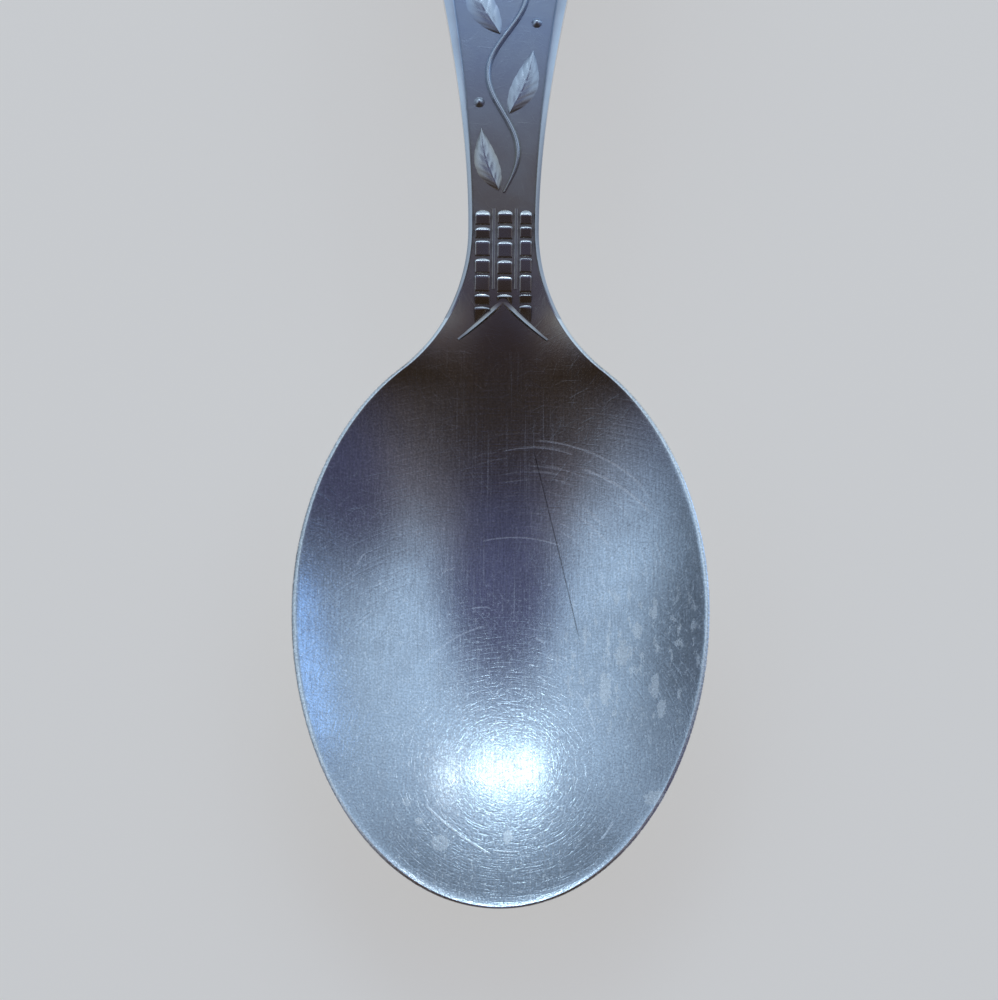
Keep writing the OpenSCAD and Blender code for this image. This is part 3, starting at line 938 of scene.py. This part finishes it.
WIPE_CENTRE = (1.4, 22.0, 0)
WIPE_WIDTH = 0.16
WIPE_TURNS = 2.2
WIPE_LINES = (0.6, 0.7)
WIPE_START = (3.0, 6.0)
WIPE_END = (9.5, 12.0, 1.0, 0.0)
WIPE_RIGHT = (-0.6, 0.1)
WIPE_AHEAD = (-0.2, 0.4)


def wiping(places):
    """Longer arcs that cloths have left on the right of the heel."""
    rings, reach, turn = ring_noise(places, WIPE_CENTRE, WIPE_WIDTH, WIPE_TURNS)
    inside = reach.step(*WIPE_START) * reach.step(*WIPE_END)
    facing = turn[1].step(*WIPE_AHEAD) * turn[0].step(*WIPE_RIGHT)
    return rings.step(*WIPE_LINES) * (inside * facing)


BRUSH_WIDTH = 0.11
BRUSH_LENGTH = 7.0


def brushing(places, across=BRUSH_WIDTH, along=BRUSH_LENGTH):
    """Faint streaks, along the spoon unless told otherwise."""
    return (places / (across, along, 1)).noise()


def arc_of(points):
    """Centre and radius of the arc through three points, its chord's middle and half the chord's length."""
    (ax, ay), (bx, by), (cx, cy) = points
    d = 2 * (ax * (by - cy) + bx * (cy - ay) + cx * (ay - by))
    a2, b2, c2 = ax * ax + ay * ay, bx * bx + by * by, cx * cx + cy * cy
    centre = Vector(((a2 * (by - cy) + b2 * (cy - ay) + c2 * (ay - by)) / d,
                     (a2 * (cx - bx) + b2 * (ax - cx) + c2 * (bx - ax)) / d, 0))
    first, last = Vector((ax, ay, 0)), Vector((cx, cy, 0))
    return centre, (first - centre).length, (first + last) / 2, (last - first).length / 2


ARC_FADE = 0.8


def arc_scratch(places, points, width):
    """1 on a thin arc through three places, fading at its ends."""
    centre, radius, middle, reach = arc_of(points)
    off = abs((places - centre).length() - radius)
    from_middle = (places - middle).length()
    return off.step(width / 2, width, 1.0, 0.0) * from_middle.step(reach * ARC_FADE, reach, 1.0, 0.0)


# Scratches that stand out in the dish: three places on each, its width and its depth as a share of a hair's
DISH_SCRATCHES = [
    ([(-4.9, 7.4), (-2.7, 5.4), (-0.4, 3.8)], 0.12, 8.0),
    ([(7.4, 6.0), (7.0, 5.3), (6.6, 4.7)], 0.1, 4.0),
    ([(-0.4, 4.2), (0.5, 4.1), (1.4, 4.1)], 0.07, 4.0),
    ([(2.0, 32.5), (6.1, 31.4), (9.6, 28.7)], 0.08, 1.5),
    ([(5.2, 30.6), (7.8, 29.2), (10.1, 26.9)], 0.1, 1.5),
    ([(-0.1, 31.8), (2.6, 32.0), (4.9, 31.4)], 0.05, 1.5),
    ([(-1.4, 26.1), (1.3, 26.4), (4.3, 25.6)], 0.06, 1.5),
    ([(-0.7, 20.5), (-3.0, 19.5), (-5.2, 17.2)], 0.06, 1.5),
    ([(5.0, 15.7), (5.9, 14.2), (6.3, 12.3)], 0.06, 1.5),
    ([(-9.6, 23.6), (-9.4, 24.1), (-9.1, 24.5)], 0.07, 2.0),
    ([(2.3, 19.6), (2.7, 19.4), (3.0, 19.1)], 0.1, 4.0),
    ([(4.2, 18.2), (4.4, 18.0), (4.5, 17.7)], 0.1, 4.0),
    ([(2.5, 16.9), (2.8, 16.7), (3.1, 16.4)], 0.08, 3.0),
    ([(1.9, 17.7), (2.1, 17.7), (2.3, 17.6)], 0.07, 3.0),
    ([(4.2, 14.7), (4.4, 14.5), (4.5, 14.2)], 0.08, 3.0),
    ([(-4.0, 23.8), (-3.6, 24.1), (-3.1, 24.2)], 0.07, 3.0),
    ([(-2.0, 21.6), (-1.4, 21.7), (-0.7, 21.7)], 0.06, 2.0),
]
DARK_HAIRLINE = [(2.0, 32.4), (3.2, 28.1), (5.4, 18.8)]
HAIRLINE_WIDTH = 0.05
HAIRLINE_BREAKS = (0.3, 0.6, 0.3, 0.65)


def long_scratches(places):
    """How far a place lies on a long scratch, and how deep it is there."""
    marks = []
    grooves = []
    for points, width, depth in DISH_SCRATCHES:
        mark = arc_scratch(places, points, width)
        marks.append(mark)
        grooves.append(mark * depth)
    return sum(marks), sum(grooves)


# Drops that have dried: the middle and the radius of each
WATER_SPOTS = [((-3.8, 4.6), 0.6), ((-6.0, 7.4), 0.3)]
SPOT_NOISE = 2.5
SPOT_UNEVENNESS = 0.5
SPOT_EDGE = (1.0, 1.35, 1.0, 0.0)
SPOT_HOLLOW = (0.2, 1.0, 0.35, 0.8)


def water_spot(places, centre, radius):
    """A round mark, stronger towards its rim."""
    uneven = places.noise(SPOT_NOISE) * SPOT_UNEVENNESS
    reach = (places - (*centre, 0)).length() / radius + uneven
    return reach.step(*SPOT_EDGE) * reach.step(*SPOT_HOLLOW)


# Patches of dried water: the middle and the half sizes of each
STAINS = [
    ((9.1, 19.4), 0.35, 0.6),
    ((8.1, 17.9), 0.45, 1.0),
    ((7.0, 15.6), 0.4, 1.2),
    ((10.2, 15.3), 0.25, 1.0),
    ((10.6, 13.6), 0.3, 0.7),
    ((10.0, 7.3), 0.7, 0.5),
    ((0.6, 5.2), 0.35, 0.5),
    ((-5.2, 6.1), 0.3, 0.25),
]
STAIN_NOISE = 3.0
STAIN_UNEVENNESS = 1.8
STAIN_EDGE = (1.7, 1.95, 0.9, 0.0)
COARSE = 0.6


def stain(places, centre, half_across, half_along):
    """An irregular patch."""
    reach = ((places - (*centre, 0)) / (half_across, half_along, 1)).length()
    uneven = places.noise(STAIN_NOISE, 3.0, COARSE) * STAIN_UNEVENNESS
    return (reach + uneven).step(*STAIN_EDGE)


# Streaks of dried water on the right of the dish
STREAK_CENTRE = (9.0, 17.5, 0)
STREAK_FADE = (3.0, 7.5, 1.0, 0.0)
STREAK_SCALE = (2.0, 0.7, 0)
STREAK_EDGE = (0.55, 0.63)


def dried_water(places):
    marks = [water_spot(places, *values) for values in WATER_SPOTS]
    marks += [stain(places, *values) for values in STAINS]
    streaks = (places * STREAK_SCALE).noise(1.0, 4.0, COARSE).step(*STREAK_EDGE)
    near = (places - STREAK_CENTRE).length().step(*STREAK_FADE)
    return sum(marks) + streaks * near


def metal(name, base, rough, finish):
    """A metal whose colour, metallic share, roughness and normal come from its finish."""
    material = bpy.data.materials.new(name)
    material.use_nodes = True
    material.diffuse_color = base
    graph = Graph(material.node_tree)
    tone, metallic, roughness, normal = finish(graph, base, rough)
    shader = graph.add("ShaderNodeBsdfPrincipled", {
        "Base Color": tone, "Metallic": metallic, "Roughness": roughness, "Normal": normal})
    graph.add("ShaderNodeOutputMaterial", {"Surface": shader})
    return material


# Painted reflection: brown towards the neck, standing in for the dark brown surroundings that the neck
# reflects; the relief's is paler
GROUND_PAINTED_BROWN = colour(0.43, 0.345, 0.25)
RELIEF_PAINTED_BROWN = colour(0.52, 0.48, 0.45)
# Painted reflection: the handle's silver is darker and bluer than the bowl's, for the violet sky that it
# reflects
HANDLE_SILVER_PAINTED_BLUE = colour(0.45, 0.50, 0.62)
RIM_SILVER = colour(0.97, 0.95, 0.91)
# Painted highlight: lighter tint of the ring scratches, for the glint arcs round the lamp's highlight
RING_PAINTED_GLINT = colour(0.90, 0.93, 0.97)
SCORE_SILVER = colour(0.95, 0.97, 1.0)
# Lighter crest colour: wear-polished relief crests, and painted highlights on the blocks' glint slopes and
# sides
CREST_SILVER = colour(0.74, 0.78, 0.84)
DULL = colour(0.42, 0.43, 0.46)
DEPOSIT = colour(0.96, 0.97, 0.97)
# Near black: the colour of the dark hairline in the dish, and of the shade painted beside the relief
GRIME_AND_PAINTED_SHADE = colour(0.05, 0.042, 0.036)
HANDLE_ROUGHNESS = 0.37
RIM_WEAR = 0.85

# Steps along the spoon, in mm from the tip, and one across it
DISH_FADE = (33.0, 42.0, 1.0, 0.0)
TIP_FADE = (20.0, 30.0, 1.0, 0.28)
HEELWARD = (12.0, 19.0)
HANDLEWARD = (35.0, 49.0)
# Where the painted brown reflection comes in and goes out along the spoon
PAINTED_BROWN_START = (30.0, 41.0)
PAINTED_BROWN_END = (60.0, 47.0)
HANDLE_TONE = (47.0, 62.0)
MIDDLE_BAND = (2.5, 6.5, 1.0, 0.0)
PAINTED_BROWN_SHARE = 0.9
CLOUD_SCALE = 0.35
CLOUD_DULL = (0.35, 0.7, 0.0, 0.3)
CLOUD_ROUGH = (0.3, 0.75, -0.02, 0.05)
GRAIN_SCALE = 9.0
GRAIN_ROUGH = (0.5, 0.75, 0.0, 0.05)


class Surface:
    """Values that bowl, neck and handle share, so that their finish runs on over the joints."""

    def __init__(self, graph, base, rough, painted_brown=GROUND_PAINTED_BROWN, handle=HANDLE_SILVER_PAINTED_BLUE):
        self.places = spoon_places(graph)
        across, along = self.places.parts()[:2]
        self.middle = abs(across).step(*MIDDLE_BAND)
        self.dished = along.step(*DISH_FADE)
        self.tipward = along.step(*TIP_FADE) * self.dished
        self.heelward = along.step(*HEELWARD)
        self.hairs = hair_layers(self.places, FINE_HAIRS) + hair_layers(self.places, DEEP_HAIRS)
        self.grain = self.places.noise(GRAIN_SCALE)
        cloud = self.places.noise(CLOUD_SCALE, 3.0)
        # Painted reflection: the silver is browned near the neck
        near_neck = along.step(*PAINTED_BROWN_START) * along.step(*PAINTED_BROWN_END)
        silver = along.step(*HANDLE_TONE).blend(base, handle)
        toned = (near_neck * PAINTED_BROWN_SHARE).blend(silver, painted_brown)
        self.base = cloud.step(*CLOUD_DULL).blend(toned, DULL)
        polish = along.step(*HANDLEWARD).step(0.0, 1.0, rough, HANDLE_ROUGHNESS)
        self.roughness = polish + cloud.step(*CLOUD_ROUGH) + self.grain.step(*GRAIN_ROUGH)


def bump_normal(height):
    return height.graph.add("ShaderNodeBump", {
        "Height": height, "Distance": SCRATCH_DEPTH, "Strength": 1.0})


def crest_share(graph):
    return graph.add("ShaderNodeAttribute", output="Fac", attribute_name="crest")


def worn_rim(base):
    """The base colour, brighter along the rim, where use has kept the metal polished."""
    return (crest_share(base.graph) * RIM_WEAR).blend(base, RIM_SILVER)


UPWARD = (0.0, 0.2)


def upper_side(graph):
    """1 where the surface faces up, 0 on the underside."""
    return graph.add("ShaderNodeTexCoord", output="Normal").parts()[2].step(*UPWARD)


# Marks of the dish, and their shares in its colour, metallic share, roughness and relief
BRUSH_LINES = (0.57, 0.75)
BRUSH_CHANGE = (0.3, 0.7, -0.1, 0.1)
BRUSH_DULL = 0.1
BRUSH_ROUGH = 0.4
SPECK_SCALE = (5.0, 2.0, 0)
SPECK_EDGE = (0.62, 0.68)
SPECK_SHARE = 0.6
SPECKLE_SIZE = 0.14
SPECKLE_CHANGE = (0.3, 0.7, -0.17, 0.17)
FIBRE_LENGTH = 1.6
FIBRE_CHANGE = (0.3, 0.7, -0.09, 0.09)
WIPE_SHARE = 0.7
DASH_SHARE = 0.6
MIDDLE_SHARE = 0.55
HATCH_SHARE = 0.16
SHALLOW_DEPTH = 1.5
RING_PAINTED_GLINT_SHARE = 0.16
DEPOSIT_TINT = 0.9
DEPOSIT_ROUGH = 0.15
SCORE_TINT = 0.8
SCORE_DULL = 0.25
SCORE_ROUGH = 0.08
DRIED_DULL = 0.32
MOST_DULL = 0.4


def dish_finish(graph, base, rough):
    """Worn polish with hair scratches, longer marks, dried water and pale stains."""
    surface = Surface(graph, base, rough)
    places, dished, tipward = surface.places, surface.dished, surface.tipward
    upper = upper_side(graph)
    marks, grooves = (upper * share for share in long_scratches(places))
    hairline = upper * arc_scratch(places, DARK_HAIRLINE, HAIRLINE_WIDTH)
    dried = upper * dried_water(places)
    specks = (places * SPECK_SCALE).noise().step(*SPECK_EDGE) * tipward
    deposits = (dried + specks * SPECK_SHARE).math("MINIMUM", 1.0)
    rings = swirl(places) * dished
    along = brushing(places)
    streaked = along.step(*BRUSH_CHANGE) * dished
    lines_along = along.step(*BRUSH_LINES)
    lines_across = brushing(places, BRUSH_LENGTH, BRUSH_WIDTH).step(*BRUSH_LINES)
    shallow = (wiping(places) * WIPE_SHARE
               + hair_layers(places, DASHES) * tipward * DASH_SHARE
               + lines_along * (surface.middle * dished) * MIDDLE_SHARE
               + (lines_along + lines_across) * (tipward * HATCH_SHARE))
    scores = (marks + shallow).math("MINIMUM", 1.0)
    # Painted highlight: the rings are tinted lighter, drawing glint arcs round the lamp's highlight
    ringed = (rings * RING_PAINTED_GLINT_SHARE).blend(worn_rim(surface.base), RING_PAINTED_GLINT)
    paler = (deposits * DEPOSIT_TINT).blend(ringed, DEPOSIT)
    scored = (scores * SCORE_TINT).blend(paler, SCORE_SILVER)
    brushed = (dished * BRUSH_DULL + streaked).blend(scored, DULL)
    speckle = places.noise(1 / SPECKLE_SIZE, 2.0, COARSE).step(*SPECKLE_CHANGE)
    fibres = brushing(places, along=FIBRE_LENGTH).step(*FIBRE_CHANGE)
    lighter = (speckle + fibres * surface.heelward) * dished
    grained = graph.add("ShaderNodeHueSaturation", {"Color": brushed, "Value": lighter + 1.0})
    lined = (hairline * surface.grain.step(*HAIRLINE_BREAKS)).blend(grained, GRIME_AND_PAINTED_SHADE)
    dulled = (dried * DRIED_DULL + scores * SCORE_DULL).math("MINIMUM", MOST_DULL)
    roughness = surface.roughness + streaked * BRUSH_ROUGH + deposits * DEPOSIT_ROUGH + scores * SCORE_ROUGH
    height = surface.hairs + rings * SWIRL_WEIGHT - (grooves + shallow * SHALLOW_DEPTH)
    return lined, 1.0 - dulled, roughness, bump_normal(height)


# Painted shade: where ambient occlusion finds shelter beside the relief, the metal is painted dark and made
# rougher
RECESS_REACH = 0.0005
RECESS_EDGE = (0.35, 0.92, 1.0, 0.0)
RECESS_ROUGH = 0.15
GROUND_PAINTED_SHADE = 0.6
GROUND_GRAIN = 1.5


def painted_shade_mask(graph):
    """1 in the corners beside the relief, 0 on open metal: where shade falls, which the finishes paint dark.
    """
    open_share = graph.add("ShaderNodeAmbientOcclusion", {"Distance": RECESS_REACH}, "AO", samples=8)
    return open_share.step(*RECESS_EDGE)


def ground_finish(graph, base, rough):
    """The ground of neck and handle: satin, with shade painted dark beside the relief."""
    surface = Surface(graph, base, rough)
    # Painted shade beside the relief
    painted_shade = painted_shade_mask(graph)
    shade_painted = (painted_shade * GROUND_PAINTED_SHADE).blend(worn_rim(surface.base), GRIME_AND_PAINTED_SHADE)
    height = surface.hairs + surface.grain * GROUND_GRAIN
    return shade_painted, 1.0, surface.roughness + painted_shade * RECESS_ROUGH, bump_normal(height)


CREST_SHELTER = (0.3, 0.8, 1.0, 0.0)
CREST_SHARE = 0.15
CREST_START = 0.2
CREST_POLISH = 0.06
RELIEF_PAINTED_SHADE = 0.5
RELIEF_GRAIN = 0.5
RELIEF_GRAIN_ROUGH = (0.45, 0.75, 0.0, 0.06)


def struck_finish(graph, base, rough):
    """Struck relief: shade painted dark beside its feet, brighter where use has polished the crests, and
    painted highlights on the blocks' glint slopes and sides.
    """
    crest = crest_share(graph)
    surface = Surface(graph, base, rough, crest.blend(GROUND_PAINTED_BROWN, RELIEF_PAINTED_BROWN),
                      crest.blend(HANDLE_SILVER_PAINTED_BLUE, base))
    wear_and_sheen = (crest * CREST_SHARE).blend(surface.base, CREST_SILVER)
    # Painted shade at the relief's feet, where occlusion finds shelter
    painted_shade = painted_shade_mask(graph) * crest.step(*CREST_SHELTER)
    shade_painted = (painted_shade * RELIEF_PAINTED_SHADE).blend(wear_and_sheen, GRIME_AND_PAINTED_SHADE)
    polish = crest.step(CREST_START, 1.0, rough, rough - CREST_POLISH)
    roughness = polish + painted_shade * RECESS_ROUGH + surface.grain.step(*RELIEF_GRAIN_ROUGH)
    return shade_painted, 1.0, roughness, bump_normal((surface.hairs + surface.grain) * RELIEF_GRAIN)


# Stage, light and camera
FLOOR_HALF = 3.0
FLOOR_CORNERS = [(-1, -1), (1, -1), (1, 1), (-1, 1)]
FLOOR_COLOUR = colour(0.88, 0.86, 0.83)
FLOOR_ROUGHNESS = 0.8
FLOOR_GLOW = 0.5
SEEN_RAYS = ("Is Camera Ray", "Is Glossy Ray", "Is Transmission Ray")


def make_floor():
    """A pale floor; half of what a camera or a mirror sees of it is its plain colour, half is lit."""
    mesh = bpy.data.meshes.new("floor")
    mesh.from_pydata([(x * FLOOR_HALF, y * FLOOR_HALF, 0) for x, y in FLOOR_CORNERS], [], [(0, 1, 2, 3)])
    floor = linked("floor", mesh)
    material = bpy.data.materials.new("floor")
    material.use_nodes = True
    graph = Graph(material.node_tree)
    lit = graph.add("ShaderNodeBsdfPrincipled", {"Base Color": FLOOR_COLOUR, "Roughness": FLOOR_ROUGHNESS})
    plain = graph.add("ShaderNodeEmission", {"Color": FLOOR_COLOUR, "Strength": 1.0})
    camera, glossy, passing = (graph.add("ShaderNodeLightPath", output=ray) for ray in SEEN_RAYS)
    seen = camera.math("MAXIMUM", glossy).math("MAXIMUM", passing)
    mixed = graph.add("ShaderNodeMixShader", {0: seen * FLOOR_GLOW, 1: lit, 2: plain})
    graph.add("ShaderNodeOutputMaterial", {"Surface": mixed})
    mesh.materials.append(material)


# Lamps: lean to the right, lean to the handle, roll, distance, width, height, power and tint
LAMPS = {
    "strip_light": (-4, 50, -5, 0.55, 0.26, 0.033, 0.23, (0.68, 0.88, 1.0)),
    "small_light": (22, 51, 0, 0.55, 0.05, 0.03, 0.03, (0.86, 0.95, 1.0)),
    "blue_light": (78, 34, 0, 0.5, 0.2, 0.14, 0.08, (0.22, 0.48, 1.0)),
}
LAMP_AIM = Vector((0, -0.7 * HALF_LENGTH * MM, 0))


def softbox(name, lean_right, lean_handle, roll, distance, width, height, power, tint):
    """An area lamp; it leans from the zenith, in degrees, and faces the bowl."""
    right, handle = math.radians(lean_right), math.radians(lean_handle)
    lean = math.hypot(right, handle)
    direction = Vector((right / lean * math.sin(lean), handle / lean * math.sin(lean), math.cos(lean)))
    light = bpy.data.lights.new(name, "AREA")
    light.shape = "RECTANGLE"
    light.size = width
    light.size_y = height
    light.energy = power
    light.color = tint
    lamp = linked(name, light)
    lamp.location = LAMP_AIM + direction * distance
    lamp.rotation_mode = "QUATERNION"
    lamp.rotation_quaternion = direction.to_track_quat("Z", "Y") @ Quaternion((0, 0, 1), math.radians(roll))
    lamp.visible_camera = False


# Sky: its colours, and steps of a direction's part to the right, to the handle and up
SKY_PALE = colour(0.56, 0.74, 0.95)
SKY_VIOLET = colour(0.125, 0.135, 0.235)
SKY_LOW = colour(0.14, 0.18, 0.235)
SKY_DUSK = colour(0.085, 0.086, 0.15)
SKY_BROWN = colour(0.046, 0.034, 0.025)
SKY_MAUVE = colour(0.185, 0.17, 0.2)
FROM_OVERHEAD = (math.cos(math.radians(14)), math.cos(math.radians(43)))
SIDE_LEAN = -0.1
RIGHT_DROP = (0.65, 0.92, 0.0, -0.27)
LEFT_RISE = (-0.4, -0.75, 0.0, 0.16)
FORWARD = (-0.5, 0.12)
LOW_HEIGHT = (0.55, 0.15)
LOW_RIGHT = (0.3, 0.7, 1.0, 0.5)
GLOW_SIDE = (0.45, 0.75)
GLOW_HANDLE = (0.3, 0.55, 0.0, 0.35)
LEFT_GLOW = (-0.4, -0.65)
LEFT_GLOW_HANDLE = (0.6, 0.75, 0.0, 0.35)
LEFT_DIM = (-0.35, -0.6, 0.0, 0.22)
DIM_START = (0.1, 0.3)
DIM_END = (0.58, 0.42)
MAUVE_SIDE = (0.15, 0.55)
MAUVE_HEIGHT = (0.25, 0.6)
MAUVE_RIGHT = (0.68, 0.86, 1.0, 0.15)
BROWN_END = (-0.68, -0.3)


def make_sky():
    """A pale dome, dim overhead, whose part on the tip's side is dark."""
    world = bpy.data.worlds.new("studio")
    world.use_nodes = True
    graph = Graph(world.node_tree)
    right, handle, up = graph.add("ShaderNodeTexCoord", output="Generated").parts()
    aside = abs(right)
    forward = handle + aside * SIDE_LEAN + right.step(*RIGHT_DROP) + right.step(*LEFT_RISE)
    left_glow = right.step(*LEFT_GLOW) * handle.step(*LEFT_GLOW_HANDLE)
    glow = aside.step(*GLOW_SIDE) * (handle.step(*GLOW_HANDLE) + left_glow)
    low = up.step(*LOW_HEIGHT) * right.step(*LOW_RIGHT) * (1.0 - glow)
    dimmer = handle.step(*DIM_START) * handle.step(*DIM_END) * right.step(*LEFT_DIM)
    dome = up.step(*FROM_OVERHEAD).blend(SKY_VIOLET, (low + dimmer).blend(SKY_PALE, SKY_LOW))
    mauve = aside.step(*MAUVE_SIDE) * (up.step(*MAUVE_HEIGHT) * right.step(*MAUVE_RIGHT))
    dark = handle.step(*BROWN_END).blend(SKY_BROWN, mauve.blend(SKY_DUSK, SKY_MAUVE))
    shade = forward.step(*FORWARD).blend(dark, dome)
    background = graph.add("ShaderNodeBackground", {"Color": shade, "Strength": 1.0})
    graph.add("ShaderNodeOutputWorld", {"Surface": background})
    bpy.context.scene.world = world


# Camera: fitted to the outline in the photograph, whose frame is 998 by 1000 pixels
IMAGE_SIDE = 1000
SENSOR = 36
CAMERA_FOCUS_PIXELS = 2979.4
CAMERA_TILT = math.radians(18)
CAMERA_DISTANCE = 0.200
CAMERA_TARGET = Vector((-0.000161, -0.025922, 0.005))
CAMERA_ROLL = 0.008
CAMERA_CLIP = 0.01


def make_camera():
    data = bpy.data.cameras.new("camera")
    data.sensor_width = SENSOR
    data.lens = CAMERA_FOCUS_PIXELS * SENSOR / IMAGE_SIDE
    data.clip_start = CAMERA_CLIP
    camera = linked("camera", data)
    turn = Matrix.Rotation(CAMERA_TILT, 4, "X") @ Matrix.Rotation(CAMERA_ROLL, 4, "Z")
    back = Matrix.Translation((0, 0, CAMERA_DISTANCE))
    camera.matrix_world = Matrix.Translation(CAMERA_TARGET) @ turn @ back
    bpy.context.scene.camera = camera


# Metals: colour, roughness and finish
SILVER = colour(0.60, 0.645, 0.70)
# Painted sheen: the border is paler than the same silver elsewhere, for the side light that its rounded face
# reflects
BORDER_SILVER_PAINTED_SHEEN = colour(0.80, 0.84, 0.88)
RELIEF_SILVER = colour(0.60, 0.64, 0.70)
METALS = {
    "bowl_metal": (SILVER, 0.125, dish_finish),
    "handle_metal": (SILVER, 0.125, ground_finish),
    "border_metal": (BORDER_SILVER_PAINTED_SHEEN, 0.34, struck_finish),
    "relief_metal": (RELIEF_SILVER, 0.31, struck_finish),
    "block_metal": (RELIEF_SILVER, 0.25, struck_finish),
}
COLUMNS = {
    "blocks_left": (left_column, column_width, LEFT_ROWS),
    "blocks_middle": (middle_column, column_width, MIDDLE_ROWS),
    "blocks_right": (right_column, column_width - COLUMN_NARROWING, RIGHT_ROWS),
}
RELIEFS = {
    "neck_ribs": make_ribs,
    "neck_chevron": make_chevron,
    "vine_stem": make_stem,
    "vine_leaves": make_leaves,
    "vine_berries": make_berries,
    "blossom_petals": make_petals,
    "blossom_centre": make_centre,
}

metals = {name: metal(name, *values) for name, values in METALS.items()}
make_bowl(metals["bowl_metal"])
make_neck(metals["handle_metal"])
make_handle(metals["handle_metal"])
make_border(metals["border_metal"])
for node, values in COLUMNS.items():
    make_blocks(node, metals["block_metal"], *values)
for node, fill in RELIEFS.items():
    relief = Relief()
    fill(relief)
    relief.build(node, metals["relief_metal"])

make_floor()
make_sky()
for name, values in LAMPS.items():
    softbox(name, *values)
make_camera()

bpy.context.scene.view_settings.view_transform = "Standard"
